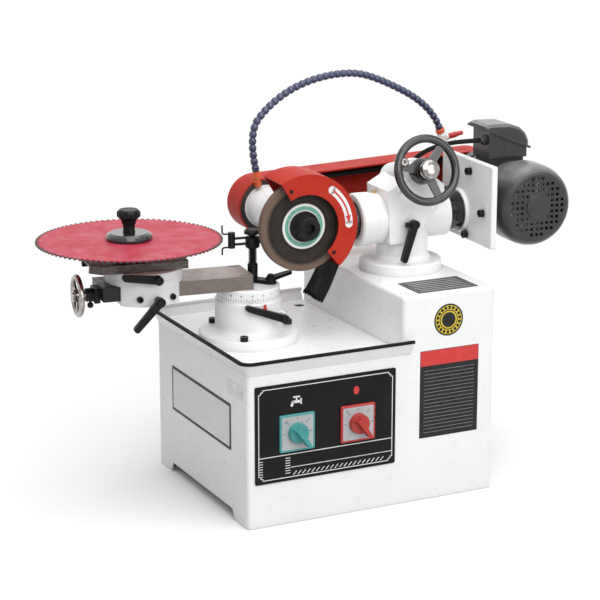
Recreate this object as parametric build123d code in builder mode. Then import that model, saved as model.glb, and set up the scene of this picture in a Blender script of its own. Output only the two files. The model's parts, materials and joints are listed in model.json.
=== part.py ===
from build123d import *
from math import atan2, ceil, cos, degrees, pi, radians, sin, tan
import os

os.makedirs("parts", exist_ok=True)

# Circular saw blade sharpener. Origin on the floor at the centre of the cabinet, front towards -Y.

# Cabinet
cabinet_width = 450
cabinet_depth = 366
low_height = 254
tall_height = 350
tall_width = 172
sheet = 3
bend_radius = 7
top_edge_radius = 5
foot_height = 17
foot_length = 50
foot_tab = 44
floor_hole_x = 400
floor_hole_y = 316
floor_hole_radius = 5.5

# Coolant tray with a lip that leans outwards
lip_top = 275
lip_overhang = 11
tray_floor = 260
tray_sheet = 2.5
lip_past_wall = 14
edging_width = 5
edging_height = 4.5
drain_place = (30, 150)
drain_radius = 9

# Switch panel on the front
panel_width = 251.5
panel_height = 162.5
panel_centre = (-86.75, 154.75)
panel_thickness = 2
switch_xs = (-140, -31)
switch_z = 153.5
switch_plate = 62
switch_plate_thickness = 4
switch_body = 42
switch_depth = 55
knob_radius = 17
knob_base = 9
knob_ridge = 12
pointer_reach = 29
pointer_turn = -55

# Coolant tank and pump inside the cabinet
tank_size = (380, 300, 100)
tank_wall = 3
pump_place = (120, 60)
pump_radius = 45
pump_height = 150

# Table: pedestal, swivel ring and guide bar, all turned a little from the cabinet
swivel_turn = -7
pedestal_place = (-138, 0)
pedestal_flange_radius = 82
pedestal_flange_top = 276
pedestal_radius = 55
pedestal_fillet = 11
pedestal_top = 332
pedestal_bolt_circle = 73
pedestal_bolt_turn = 7
pedestal_lever_place = (42, -42, 306)
pedestal_lever_reach = 65
pedestal_lever_turn = 160
ring_radius = 52.5
ring_top = 353
ring_pin_radius = 15
ring_pin_depth = 36
running_gap = 0.04
bar_left = -253
bar_right = -2
bar_width = 76
bar_top = 376.5
bar_slot_width = 16
bar_slot_top = 368
bar_slot_end = -60
screw_z = 358
screw_radius = 6
bracket_thickness = 8
bracket_collar_radius = 11
bracket_collar_length = 13
feed_wheel_radius = 35
feed_wheel_x = -286

# Carriage, drum and top slide that carry the blade
drum_x = -177
drum_radius = 63.5
carriage_width = 96
carriage_bottom = 346
carriage_disc = 377
drum_bottom = 386
drum_top = 399
drum_pin_radius = 25
drum_pin_depth = 8
slide_bottom = 399.6
slide_top = 414
slide_left = -272
slide_right = -114
slide_end_cut = 18
slide_width = 90
dovetail_foot = 40
dovetail_head = 52
dovetail_top = 410
carriage_lever_x = 6
carriage_lever_z = 357.5
carriage_lever_reach = 57
drum_lever_x = 5
drum_lever_z = 391.5
drum_lever_reach = 54

# Saw blade on its arbor
blade_x = -199
blade_radius = 150
blade_bottom = 441.5
blade_thickness = 2.4
blade_teeth = 96
gullet_depth = 6.5
arbor_radius = 15
arbor_flange_radius = 36
clamp_flange_radius = 37.5
clamp_flange_height = 12
stem_radius = 7.5
knob_foot = 467
knob_top = 493

# Index finger that stops the blade tooth by tooth
post_place = (13, 15)
post_radius = 8.5
post_shoulder = 384
rod_radius = 4.5
rod_top = 434
collar_bottom = 410
collar_top = 429
collar_radius = 12
barrel_x = -23
finger_x = -39
finger_wire = 1.4
spring_radius = 6.2
spring_wire = 0.9
spring_turns = 7
base_foot = (36, -10)

# Head: column flange, casting, sleeve and traverse, whose shaft rises towards its handwheel
head_turn = -3
head_place = (142, 0)
column_flange_radius = 70
column_flange_x = 5
column_flange_top = 368
column_radius = 43.5
column_x = 8
spigot_radius = 20
spigot_depth = 13
sleeve_z = 440
sleeve_radius = 33
sleeve_bore = 20
sleeve_left = -150
barrel_radius = 40
barrel_left = -84
barrel_right = 82
waist_radius = 43
collar_left_radius = 45
collar_left_length = 27
block_front = -44
block_rear = 40
block_top = 519
block_right = 64
gear_cover_radius = 26
gear_cover_rear = 34
sleeve_lever_place = (2, 437)
sleeve_lever_face = -48
traverse_x = 15
traverse_rise = 66.5
traverse_tilt = 16
traverse_shaft_radius = 8
boss_radius = 17
boss_front = -80
gear_module = 2
pinion_teeth = 20
gear_width = 14
tooth_share = 0.41
rack_teeth = 9
traverse_wheel_radius = 59.5
traverse_wheel_y = -98

# Motor on its plate at the right end of the sleeve
plate_left = 117
plate_thickness = 10
plate_front = -113
plate_rear = 67
plate_bottom = 394
plate_top = 534
plate_boss_radius = 38
plate_boss_height = 7
plate_bolt_places = [(-36, 514), (-84, 451), (-27, 403), (46, 466)]
plate_foot = (-58, 10)
motor_x = 201
motor_z = 461
motor_radius = 63
motor_front = -66
motor_rear = 84
motor_shaft_radius = 7
cowl_radius = 69.5
cowl_face_radius = 55
cowl_shoulder = 28
cowl_front = -118
cowl_sheet = 2.5
grille_radius = 53
grille_pitch = 9.5
grille_hole = 5.6
grille_boss = 20
box_left = 152
box_right = 224
box_front = -36
box_rear = 22
box_foot = 531
box_left_top = 577
box_right_top = 547
lid_overhang = 12
lid_shift = -3
lid_corner = 12
lid_rim = 4
lid_outline = [(143, 581.8), (228, 546.3), (228, 558), (222, 571), (210, 582), (190, 589), (152, 590), (143, 587)]
lid_inset = 2
lid_edge = 4.5

# Spindle, wheel and guards at the left end of the sleeve
spindle_x = -202.5
spindle_z = 454
spindle_radius = 12.5
housing_radius = 34
housing_front = -40
housing_rear = 97
socket_radius = 41
socket_right = -128
bearing_radius = 26
bearing_width = 15
wheel_radius = 75
wheel_front = -67
wheel_rear = -46
hub_radius = 25
hub_neck = 19
hub_length = 26
socket_depth = 8
guard_radius = 88.5
guard_window = 55
guard_front = -83
guard_rear = -8
guard_sheet = 2.5
guard_start = -50
guard_end = 121
flap_foot = 326
belt_front = 114
belt_width = 10
belt_height = 7
spindle_groove = 30
motor_groove = 40
belt_guard_front = 97
belt_guard_rear = 155
belt_guard_left_radius = 48
belt_guard_right_radius = 58

# Coolant line: valve on the belt guard, ribbed hose in an arch, nozzle at the left
hose_start = (-228, 88)
hose_end = (146, 126.8)
hose_radius = 6.5
hose_waist = 5.2
hose_bore = 3.2
hose_ribs = 44
hose_route = [(5.5, 517), (-4.5, 583), (30, 631), (91.5, 666), (169.5, 677.5), (229, 661), (352, 593),
              (371, 556)]
valve_top = 550
valve_arm_z = 540
valve_arm_rise = 11
lead_radius = 4
lead_route = [(141, -20, 562), (121, -20, 562), (95, -6, 559), (71, 24, 546), (52, 50, 524), (40, 58, 500),
              (40, 58, 479)]

cabinet_left = -cabinet_width / 2
cabinet_right = cabinet_width / 2
cabinet_front = -cabinet_depth / 2
tall_left = cabinet_right - tall_width
table = Plane((*pedestal_place, 0), x_dir=(cos(radians(swivel_turn)), sin(radians(swivel_turn)), 0))
head = Plane((*head_place, 0), x_dir=(cos(radians(head_turn)), sin(radians(head_turn)), 0))


def on_table(x, y, z, base=Plane.XY):
    return Plane(table.location * Location((x, y, z)) * base.location)


def on_head(x, y, z, base=Plane.XY):
    return Plane(head.location * Location((x, y, z)) * base.location)


def on_traverse(x, y, rise, base=Plane.XY):
    # The head's frame leaned back about the sleeve's axis; rise counts from that axis
    lean = Location((0, 0, sleeve_z), (-traverse_tilt, 0, 0))
    return Plane(head.location * lean * Location((x, y, rise)) * base.location)


def spun(plane, x_turn, y_turn, z_turn):
    # The same plane turned about its own axes
    return Plane(plane.location * Location((0, 0, 0), (x_turn, y_turn, z_turn)))


def write(part, name):
    part.label = name
    export_step(part, f"parts/{name}.step")


def turned(seat, outline):
    # A turned solid: outline points are (radius, height above the seat)
    side = Plane(seat.origin, x_dir=seat.x_dir, z_dir=-seat.y_dir)
    with BuildSketch(side) as section:
        with BuildLine():
            Polyline(*outline, close=True)
        make_face()
    revolve(section.sketch, axis=Axis(seat.origin, seat.z_dir))


def bore(seat, radius, depth):
    with BuildSketch(seat) as mouth:
        Circle(radius)
    extrude(mouth.sketch, amount=depth, mode=Mode.SUBTRACT)


def slab(seat, points, amount, mode=Mode.ADD, both=False):
    with BuildSketch(seat) as outline:
        with BuildLine():
            Polyline(*points, close=True)
        make_face()
    extrude(outline.sketch, amount=amount, both=both, mode=mode)


def clamp_lever(seat, reach, turn, stub=8, arm=9):
    # Round hub on a stub, with an arm that tapers towards its tip
    turned(seat, [(0, 0), (5, 0), (5, stub), (7.5, stub), (7.5, stub + arm + 2), (6, stub + arm + 4),
                  (0, stub + arm + 4)])
    with BuildSketch(spun(seat.offset(stub), 0, 0, turn)) as arm_outline:
        Circle(6.5)
        with Locations((reach, 0)):
            Circle(5)
        make_hull()
    extrude(arm_outline.sketch, amount=arm)


def spoked_wheel(seat, radius, rim, hub_radius, hub_height, first_spoke, spoke_width, dish):
    # Rim ring, hub behind it and spokes that lean back to the hub
    with Locations(seat):
        Torus(radius - rim, rim)
    turned(seat.offset(dish - hub_height / 2),
           [(0, 0), (hub_radius, 0), (hub_radius, hub_height), (0, hub_height)])
    lean = degrees(atan2(dish, radius - rim))
    for turn in range(0, 360, 120):
        arm = spun(spun(seat.offset(dish), 0, 0, first_spoke + turn), 0, lean, 0)
        with BuildSketch(arm) as spoke_outline:
            with BuildLine():
                Polyline((0, -spoke_width), (radius - rim, -spoke_width * 0.7),
                         (radius - rim, spoke_width * 0.7),
                         (0, spoke_width), close=True)
            make_face()
        extrude(spoke_outline.sketch, amount=rim * 0.45, both=True)


def run_radii(points):
    # The largest arc that each corner's two runs leave room for
    radii = []
    for before, corner, after in zip(points, points[1:], points[2:]):
        first = Vector(*corner) - Vector(*before)
        second = Vector(*after) - Vector(*corner)
        turn = radians(first.get_angle(second))
        radii.append(0.45 * min(first.length, second.length) / tan(turn / 2))
    return radii


def gear_outline(module, teeth):
    # Straight-flanked teeth, thinner than half the pitch so that they run freely
    pitch_radius = module * teeth / 2
    step = 2 * pi / teeth
    points = []
    for tooth in range(teeth):
        centre = step * tooth - pi / 2 + step / 2
        for radius, share in ((pitch_radius - 1.25 * module, -1.55), (pitch_radius + module, -0.5),
                              (pitch_radius + module, 0.5), (pitch_radius - 1.25 * module, 1.55)):
            angle = centre + share * tooth_share * step / 2
            points.append((radius * cos(angle), radius * sin(angle)))
    return points


def blade_outline(radius, teeth):
    # Each tooth has a leaning face, a narrow top and a long back down to the gullet
    step = 2 * pi / teeth
    points = []
    for tooth in range(teeth):
        for share, depth in ((0.0, gullet_depth), (0.06, 0.0), (0.3, 0.5), (0.68, gullet_depth)):
            angle = -step * (tooth + share)
            points.append(((radius - depth) * cos(angle), (radius - depth) * sin(angle)))
    return points


def helix_points(radius, pitch, turns):
    # Half-turn knots of the coil with their directions
    knots = []
    for half in range(int(turns * 2) + 1):
        angle = pi * half
        place = Vector(radius * cos(angle), radius * sin(angle), pitch * half / 2)
        heading = Vector(-radius * sin(angle), radius * cos(angle), pitch / (2 * pi)).normalized()
        knots.append((place, heading))
    return knots


def biarc(start, start_heading, end, end_heading):
    # Two arcs that meet smoothly between two knots of a coil
    across = end - start
    both = start_heading + end_heading
    a = both.dot(both) - 4
    b = -2 * across.dot(both)
    c = across.dot(across)
    reach = (-b - (b * b - 4 * a * c) ** 0.5) / (2 * a)
    middle = (start + end + (start_heading - end_heading) * reach) * 0.5
    heading = (across - both * reach).normalized()
    TangentArc(start, middle, tangent=start_heading)
    TangentArc(middle, end, tangent=heading)


# Cabinet shell, tray and edging
with BuildPart() as cabinet_shell:
    with BuildSketch():
        RectangleRounded(cabinet_width, cabinet_depth, bend_radius)
    extrude(amount=low_height)
    with BuildSketch(Plane.XY.offset(low_height)):
        with Locations((cabinet_right - tall_width / 2, 0)):
            RectangleRounded(tall_width, cabinet_depth, bend_radius)
    extrude(amount=tall_height - low_height)
    fillet(cabinet_shell.faces().sort_by(Axis.Z)[-1].edges(), top_edge_radius)
    with BuildSketch():
        RectangleRounded(cabinet_width - 2 * sheet, cabinet_depth - 2 * sheet, bend_radius - sheet)
    extrude(amount=low_height, mode=Mode.SUBTRACT)
    with BuildSketch():
        with Locations((cabinet_right - tall_width / 2, 0)):
            RectangleRounded(tall_width - 2 * sheet, cabinet_depth - 2 * sheet, bend_radius - sheet)
    extrude(amount=tall_height - sheet, mode=Mode.SUBTRACT)
    slab(Plane.YZ, [(cabinet_front + foot_length, -1), (-cabinet_front - foot_length, -1),
                    (-cabinet_front - foot_length - 10, foot_height),
                    (cabinet_front + foot_length + 10, foot_height)],
         cabinet_width, Mode.SUBTRACT, both=True)
    tab_x = cabinet_width / 2 - sheet - foot_tab / 2
    tab_y = cabinet_depth / 2 - sheet - foot_tab / 2
    for x in (-1, 1):
        for y in (-1, 1):
            with BuildSketch():
                with Locations((x * tab_x, y * tab_y)):
                    Rectangle(foot_tab, foot_tab)
                with Locations((x * floor_hole_x / 2, y * floor_hole_y / 2)):
                    Circle(floor_hole_radius, mode=Mode.SUBTRACT)
            extrude(amount=sheet + 1)
    for x in switch_xs:
        with BuildSketch(Plane.XZ.offset(-cabinet_front)):
            with Locations((x, switch_z)):
                Rectangle(switch_body + 1, switch_body + 1)
        extrude(amount=-2 * sheet, mode=Mode.SUBTRACT)
write(cabinet_shell.part, "cabinet_shell")

with BuildPart() as coolant_tray:
    lip_lean = degrees(atan2(lip_overhang, lip_top - low_height))
    tray_right = tall_left + 40
    tray_middle = (cabinet_left + tray_right) / 2
    with BuildSketch(Plane.XY.offset(low_height)):
        with Locations((tray_middle, 0)):
            RectangleRounded(tray_right - cabinet_left, cabinet_depth, bend_radius)
    extrude(amount=lip_top - low_height, taper=-lip_lean)
    floor_spread = (tray_floor - low_height) * lip_overhang / (lip_top - low_height) - tray_sheet
    with BuildSketch(Plane.XY.offset(tray_floor)):
        with Locations((tray_middle, 0)):
            RectangleRounded(tray_right - cabinet_left + 2 * floor_spread, cabinet_depth + 2 * floor_spread,
                             bend_radius)
    extrude(amount=lip_top - tray_floor, taper=-lip_lean, mode=Mode.SUBTRACT)
    with BuildSketch(Plane.XY.offset(low_height)):
        with Locations((tray_middle, 0)):
            Rectangle(tray_right - cabinet_left - 2 * sheet, cabinet_depth - 2 * sheet)
    extrude(amount=tray_floor - tray_sheet - low_height, mode=Mode.SUBTRACT)
    below_tray = Plane.XY.offset(low_height - 1)
    slab(below_tray, [(tall_left, cabinet_front), (tall_left, 300), (300, 300), (300, cabinet_front)],
         lip_top, Mode.SUBTRACT)
    lip_end = tall_left + lip_past_wall
    slab(below_tray, [(lip_end, -300), (lip_end, 0), (300, 0), (300, -300)], lip_top, Mode.SUBTRACT)
    bore(Plane((*drain_place, tray_floor - 4)), drain_radius, 8)
write(coolant_tray.part, "coolant_tray")

with BuildPart() as tray_edging:
    rim_left = cabinet_left - lip_overhang
    rim_front = cabinet_front - lip_overhang
    with BuildSketch(Plane.XY.offset(lip_top)):
        with BuildLine():
            FilletPolyline((tall_left, -rim_front - tray_sheet / 2),
                           (rim_left + tray_sheet / 2, -rim_front - tray_sheet / 2),
                           (rim_left + tray_sheet / 2, rim_front + tray_sheet / 2),
                           (tall_left + lip_past_wall, rim_front + tray_sheet / 2),
                           radius=bend_radius + lip_overhang)
            offset(amount=edging_width / 2, side=Side.BOTH)
        make_face()
    extrude(amount=edging_height)
write(tray_edging.part, "tray_edging")

# Switch panel and the two rotary switches
front_face = Plane.XZ.offset(-cabinet_front)
with BuildPart() as switch_panel:
    with BuildSketch(front_face):
        with Locations(panel_centre):
            RectangleRounded(panel_width, panel_height, 3)
        with Locations(*[(x, switch_z) for x in switch_xs]):
            Rectangle(switch_body + 1, switch_body + 1, mode=Mode.SUBTRACT)
    extrude(amount=panel_thickness)
write(switch_panel.part, "switch_panel")

for circuit, x in (("coolant", switch_xs[0]), ("motor", switch_xs[1])):
    switch_face = Plane((x, cabinet_front - panel_thickness, switch_z), x_dir=(1, 0, 0), z_dir=(0, -1, 0))
    with BuildPart() as rotary_switch:
        with BuildSketch(switch_face):
            RectangleRounded(switch_plate, switch_plate, 3)
        extrude(amount=switch_plate_thickness)
        chamfer(rotary_switch.faces().sort_by(Axis.Y)[0].edges(), 1)
        with BuildSketch(switch_face):
            RectangleRounded(switch_body, switch_body, 2)
        extrude(amount=-switch_depth)
        bore(switch_face.offset(switch_plate_thickness), 5 + running_gap, -14)
    write(rotary_switch.part, f"{circuit}_switch")

    knob_face = switch_face.offset(switch_plate_thickness)
    with BuildPart() as switch_knob:
        with BuildSketch(knob_face.offset(0.3)):
            Circle(knob_radius)
        extrude(amount=knob_base, taper=6)
        with BuildSketch(spun(knob_face.offset(0.3 + knob_base), 0, 0, pointer_turn)):
            with BuildLine():
                Polyline((-knob_radius * 0.9, -6), (-knob_radius * 0.9, 6), (pointer_reach - 6, 4.5),
                         (pointer_reach, 0), (pointer_reach - 6, -4.5), close=True)
            make_face()
        extrude(amount=knob_ridge, taper=8)
        with BuildSketch(knob_face.offset(0.3)):
            Circle(5)
        extrude(amount=-12)
    write(switch_knob.part, f"{circuit}_knob")

# Coolant tank and pump
with BuildPart() as coolant_tank:
    with BuildSketch(Plane.XY.offset(sheet + 1)):
        RectangleRounded(tank_size[0], tank_size[1], 20)
    extrude(amount=tank_size[2])
    with BuildSketch(Plane.XY.offset(sheet + 1 + tank_wall)):
        RectangleRounded(tank_size[0] - 2 * tank_wall, tank_size[1] - 2 * tank_wall, 20 - tank_wall)
    extrude(amount=tank_size[2], mode=Mode.SUBTRACT)
write(coolant_tank.part, "coolant_tank")

with BuildPart() as coolant_pump:
    pump_seat = Plane((*pump_place, sheet + 1 + tank_wall))
    turned(pump_seat, [(0, 0), (pump_radius, 0), (pump_radius, 24), (16, 30), (16, 90), (pump_radius, 94),
                       (pump_radius, pump_height - 8), (pump_radius - 8, pump_height), (0, pump_height)])
    with BuildSketch(spun(pump_seat.offset(12), 0, 90, 0)):
        Circle(7)
    extrude(amount=pump_radius + 18)
    with BuildSketch(Plane(pump_seat.origin + Vector(pump_radius + 11, 0, 5))):
        Circle(7)
    extrude(amount=130)
write(coolant_pump.part, "coolant_pump")

# Pedestal, its bolts and its clamp lever
with BuildPart() as pedestal:
    seat = on_table(0, 0, tray_floor)
    flange = pedestal_flange_top - tray_floor
    body_height = pedestal_top - tray_floor
    side = Plane(seat.origin, x_dir=seat.x_dir, z_dir=-seat.y_dir)
    with BuildSketch(side):
        with BuildLine():
            Polyline((0, body_height), (0, 0), (pedestal_flange_radius, 0),
                     (pedestal_flange_radius, flange - 2),
                     (pedestal_flange_radius - 2, flange), (pedestal_radius + pedestal_fillet, flange))
            RadiusArc((pedestal_radius + pedestal_fillet, flange),
                      (pedestal_radius, flange + pedestal_fillet),
                      pedestal_fillet)
            Polyline((pedestal_radius, flange + pedestal_fillet), (pedestal_radius, body_height - 2),
                     (pedestal_radius - 2, body_height), (0, body_height))
        make_face()
    revolve(axis=Axis(seat.origin, seat.z_dir))
    turned(on_table(*pedestal_lever_place, Plane.XZ), [(0, -30), (9, -30), (9, -1), (8, 0), (0, 0)])
    bore(on_table(0, 0, pedestal_top), ring_pin_radius + running_gap, -ring_pin_depth - 1)
    with BuildSketch(on_table(0, 0, tray_floor)):
        with PolarLocations(pedestal_bolt_circle, 3, start_angle=pedestal_bolt_turn):
            Circle(4)
    extrude(amount=flange, mode=Mode.SUBTRACT)
write(pedestal.part, "pedestal")

with BuildPart() as pedestal_bolts:
    with BuildSketch(on_table(0, 0, pedestal_flange_top)):
        with PolarLocations(pedestal_bolt_circle, 3, start_angle=pedestal_bolt_turn):
            Circle(6.5)
    extrude(amount=8)
    with BuildSketch(on_table(0, 0, pedestal_flange_top + 8)):
        with PolarLocations(pedestal_bolt_circle, 3, start_angle=pedestal_bolt_turn):
            RegularPolygon(3.4, 6)
    extrude(amount=-4.5, mode=Mode.SUBTRACT)
    with BuildSketch(on_table(0, 0, pedestal_flange_top)):
        with PolarLocations(pedestal_bolt_circle, 3, start_angle=pedestal_bolt_turn):
            Circle(4)
    extrude(amount=-flange)
write(pedestal_bolts.part, "pedestal_bolts")

with BuildPart() as pedestal_lever:
    pedestal_lever_seat = on_table(*pedestal_lever_place, Plane.XZ).offset(0.3)
    clamp_lever(pedestal_lever_seat, pedestal_lever_reach, pedestal_lever_turn, stub=15)
write(pedestal_lever.part, "pedestal_lever")

# Swivel ring and guide bar
with BuildPart() as swivel_ring:
    ring_height = ring_top - pedestal_top
    turned(on_table(0, 0, pedestal_top), [(0, -ring_pin_depth), (ring_pin_radius, -ring_pin_depth),
                                          (ring_pin_radius, 0), (ring_radius, 0),
                                          (ring_radius, ring_height - 1.5),
                                          (ring_radius - 1.5, ring_height), (0, ring_height)])
write(swivel_ring.part, "swivel_ring")

with BuildPart() as guide_bar:
    slab(on_table(0, 0, ring_top), [(bar_left, -bar_width / 2), (bar_right, -bar_width / 2),
                                    (bar_right, bar_width / 2), (bar_left, bar_width / 2)],
                                    bar_top - ring_top)
    chamfer(guide_bar.edges().filter_by(Axis.Z), 2)
    slab(on_table(0, 0, ring_top), [(bar_left, -bar_slot_width / 2), (bar_slot_end, -bar_slot_width / 2),
                                    (bar_slot_end, bar_slot_width / 2), (bar_left, bar_slot_width / 2)],
         bar_slot_top - ring_top, Mode.SUBTRACT)
    for y in (-bar_width / 2 + 4, bar_width / 2 - 8):
        slab(on_table(bar_right, y, bar_top), [(-22, 0), (-4, 0), (-4, 4), (-22, 4)], -5, Mode.SUBTRACT)
write(guide_bar.part, "guide_bar")

# Feed screw, its end bracket and the chrome handwheel
with BuildPart() as screw_bracket:
    seat = spun(on_table(bar_left, 0, screw_z, Plane.YZ), 0, 180, 0)
    with BuildSketch(seat):
        RectangleRounded(36, 24, 4)
    extrude(amount=bracket_thickness)
    for rib in range(3):
        turned(seat.offset(bracket_thickness + rib * bracket_collar_length / 3),
               [(0, 0), (bracket_collar_radius, 0), (bracket_collar_radius, 3),
                (bracket_collar_radius - 1.5, 3),
                (bracket_collar_radius - 1.5, bracket_collar_length / 3), (0, bracket_collar_length / 3)])
    bore(seat, screw_radius + running_gap, 30)
write(screw_bracket.part, "screw_bracket")

with BuildPart() as feed_screw:
    turned(on_table(feed_wheel_x - 9, 0, screw_z, Plane.YZ),
           [(0, 0), (screw_radius, 0), (screw_radius, bar_slot_end - feed_wheel_x),
            (0, bar_slot_end - feed_wheel_x)])
write(feed_screw.part, "feed_screw")

with BuildPart() as feed_handwheel:
    wheel_seat = on_table(feed_wheel_x, 0, screw_z, Plane.YZ)
    spoked_wheel(wheel_seat, feed_wheel_radius, 4.5, 10, 15, 30, 5, 0)
    bore(wheel_seat.offset(-20), screw_radius, 40)
write(feed_handwheel.part, "feed_handwheel")

# Carriage, swivel drum and top slide
with BuildPart() as carriage:
    with BuildSketch(on_table(drum_x, 0, carriage_bottom)):
        Circle(drum_radius)
        Rectangle(carriage_width, 3 * drum_radius, mode=Mode.INTERSECT)
    extrude(amount=carriage_disc - carriage_bottom)
    with BuildSketch(on_table(drum_x, 0, carriage_disc)):
        Circle(drum_radius)
    extrude(amount=drum_bottom - carriage_disc)
    tunnel = bar_width / 2 + 0.05
    slab(on_table(drum_x, 0, ring_top - 0.1), [(-drum_radius, -tunnel), (drum_radius, -tunnel),
                                               (drum_radius, tunnel),
                                               (-drum_radius, tunnel)], bar_top - ring_top + 0.2,
                                               Mode.SUBTRACT)
    lug = bar_slot_width / 2 - 0.6
    slab(on_table(drum_x, 0, carriage_bottom), [(-20, -lug), (20, -lug), (20, lug), (-20, lug)],
         bar_slot_top - 0.6 - carriage_bottom)
    bore(on_table(drum_x - 50, 0, screw_z, Plane.YZ), screw_radius + running_gap, 100)
    bore(on_table(drum_x, 0, drum_bottom), drum_pin_radius + running_gap, -drum_pin_depth)
write(carriage.part, "carriage")

with BuildPart() as swivel_drum:
    turned(on_table(drum_x, 0, drum_bottom), [(0, -drum_pin_depth), (drum_pin_radius, -drum_pin_depth),
                                              (drum_pin_radius, 0), (drum_radius, 0),
                                              (drum_radius, drum_top - drum_bottom - 1),
                                              (drum_radius - 1, drum_top - drum_bottom),
                                              (0, drum_top - drum_bottom)])
    slab(on_table(drum_x, 0, 0, Plane.YZ), [(-dovetail_foot / 2, drum_top), (dovetail_foot / 2, drum_top),
                                            (dovetail_head / 2, dovetail_top),
                                            (-dovetail_head / 2, dovetail_top)], 45, both=True)
write(swivel_drum.part, "swivel_drum")

with BuildPart() as top_slide:
    half = slide_width / 2
    slab(on_table(0, 0, slide_bottom), [(slide_left + slide_end_cut, -half), (slide_right, -half),
                                        (slide_right, half), (slide_left + slide_end_cut, half),
                                        (slide_left, half - slide_end_cut),
                                        (slide_left, -half + slide_end_cut)],
         slide_top - slide_bottom)
    chamfer(top_slide.faces().sort_by(Axis.Z)[-1].edges(), 1)
    flank = (dovetail_head - dovetail_foot) / (dovetail_top - drum_top) / 2
    mouth = dovetail_foot / 2 + flank * (slide_bottom - 1 - drum_top) + 0.08
    slab(on_table(slide_left, 0, 0, Plane.YZ), [(-mouth, slide_bottom - 1), (mouth, slide_bottom - 1),
                                                (dovetail_head / 2 + 0.12, dovetail_top + 0.05),
                                                (-dovetail_head / 2 - 0.12, dovetail_top + 0.05)], 200,
                                                Mode.SUBTRACT)
write(top_slide.part, "top_slide")

with BuildPart() as carriage_lever:
    front = (drum_radius ** 2 - (carriage_lever_x - 5) ** 2) ** 0.5
    carriage_lever_seat = on_table(drum_x + carriage_lever_x, -front - 0.3, carriage_lever_z, Plane.XZ)
    clamp_lever(carriage_lever_seat, carriage_lever_reach, 227, stub=12)
write(carriage_lever.part, "carriage_lever")

with BuildPart() as drum_lever:
    front = drum_radius
    drum_lever_seat = on_table(drum_x + drum_lever_x, -front - 0.3, drum_lever_z, Plane.XZ)
    clamp_lever(drum_lever_seat, drum_lever_reach, 172, stub=5)
write(drum_lever.part, "drum_lever")

# Arbor, saw blade and its clamp
with BuildPart() as blade_arbor:
    seat_height = blade_bottom - slide_top
    turned(on_table(blade_x, 0, slide_top), [(0, 0), (26, 0), (26, 8), (20, 8), (20, 20),
                                             (arbor_flange_radius, 23),
                                             (arbor_flange_radius, seat_height), (arbor_radius, seat_height),
                                             (arbor_radius, 36), (stem_radius - 1, 36), (stem_radius - 1, 70),
                                             (0, 70)])
write(blade_arbor.part, "blade_arbor")

with BuildPart() as saw_blade:
    slab(on_table(blade_x, 0, blade_bottom), blade_outline(blade_radius, blade_teeth), blade_thickness)
    bore(on_table(blade_x, 0, blade_bottom), arbor_radius + running_gap, blade_thickness)
write(saw_blade.part, "saw_blade")

clamp_bottom = blade_bottom + blade_thickness
with BuildPart() as blade_flange:
    top = clamp_flange_height
    turned(on_table(blade_x, 0, clamp_bottom), [(arbor_radius + running_gap, 0), (clamp_flange_radius - 1, 0),
                                                (clamp_flange_radius, 1.5), (clamp_flange_radius, 5),
                                                (clamp_flange_radius - 2, 9), (clamp_flange_radius - 7, top),
                                                (stem_radius + 3, top), (stem_radius + 3, top - 2),
                                                (arbor_radius + running_gap, 6.5)])
write(blade_flange.part, "blade_flange")

with BuildPart() as blade_knob:
    stem_foot = clamp_bottom + clamp_flange_height
    neck = knob_foot - stem_foot
    crown = knob_top - stem_foot
    turned(on_table(blade_x, 0, stem_foot), [(stem_radius - 1 + running_gap, 0.1), (stem_radius + 2, 0.1),
                                             (stem_radius + 2, neck), (11, neck + 3), (13, neck + 10),
                                             (19, neck + 15), (19, crown - 4), (15, crown), (0, crown),
                                             (0, neck + 18), (stem_radius - 1 + running_gap, neck + 18)])
    with BuildSketch(on_table(blade_x, 0, knob_foot + 12)):
        with PolarLocations(22.5, 6):
            Circle(6)
    extrude(amount=20, mode=Mode.SUBTRACT)
write(blade_knob.part, "blade_knob")

# Index finger on the swivel ring
with BuildPart() as index_base:
    with BuildSketch(on_table(0, 0, ring_top)):
        with Locations(post_place):
            Circle(10)
        with Locations(base_foot):
            Circle(9)
        make_hull()
    extrude(amount=6)
write(index_base.part, "index_base")

with BuildPart() as index_post:
    shoulder = post_shoulder - ring_top - 6
    rod = rod_top - ring_top - 6
    turned(on_table(*post_place, ring_top + 6), [(0, 0), (post_radius, 0), (post_radius, shoulder - 2),
                                                 (post_radius - 1.5, shoulder), (rod_radius, shoulder),
                                                 (rod_radius, rod), (14, rod), (14, rod + 4), (11, rod + 7),
                                                 (0, rod + 7)])
write(index_post.part, "index_post")

with BuildPart() as index_spring:
    spring_seat = on_table(*post_place, post_shoulder)
    lead_in = 2 * spring_wire
    bend = 2 * spring_wire
    spring_space = collar_bottom - post_shoulder - 2 * (lead_in + bend)
    climb = spring_space / spring_turns / (2 * pi * spring_radius) * bend
    knots = helix_points(spring_radius, (spring_space - 2 * climb) / spring_turns, spring_turns)
    with BuildLine() as spring_path:
        low = spring_seat.origin + Vector(0, 0, lead_in + bend + climb)
        first, first_heading = knots[0]
        last, last_heading = knots[-1]
        foot = first + low - first_heading * bend - Vector(0, 0, bend)
        crown = last + low + last_heading * bend + Vector(0, 0, bend)
        Line(foot - Vector(0, 0, lead_in), foot)
        TangentArc(foot, first + low, tangent=(0, 0, 1))
        for (start, start_heading), (end, end_heading) in zip(knots, knots[1:]):
            biarc(start + low, start_heading, end + low, end_heading)
        TangentArc(last + low, crown, tangent=last_heading)
        Line(crown, crown + Vector(0, 0, lead_in))
    wire = spring_path.wires()[0]
    with BuildSketch(Plane(wire @ 0, z_dir=wire % 0)):
        Circle(spring_wire)
    sweep(path=wire)
write(index_spring.part, "index_spring")

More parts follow.
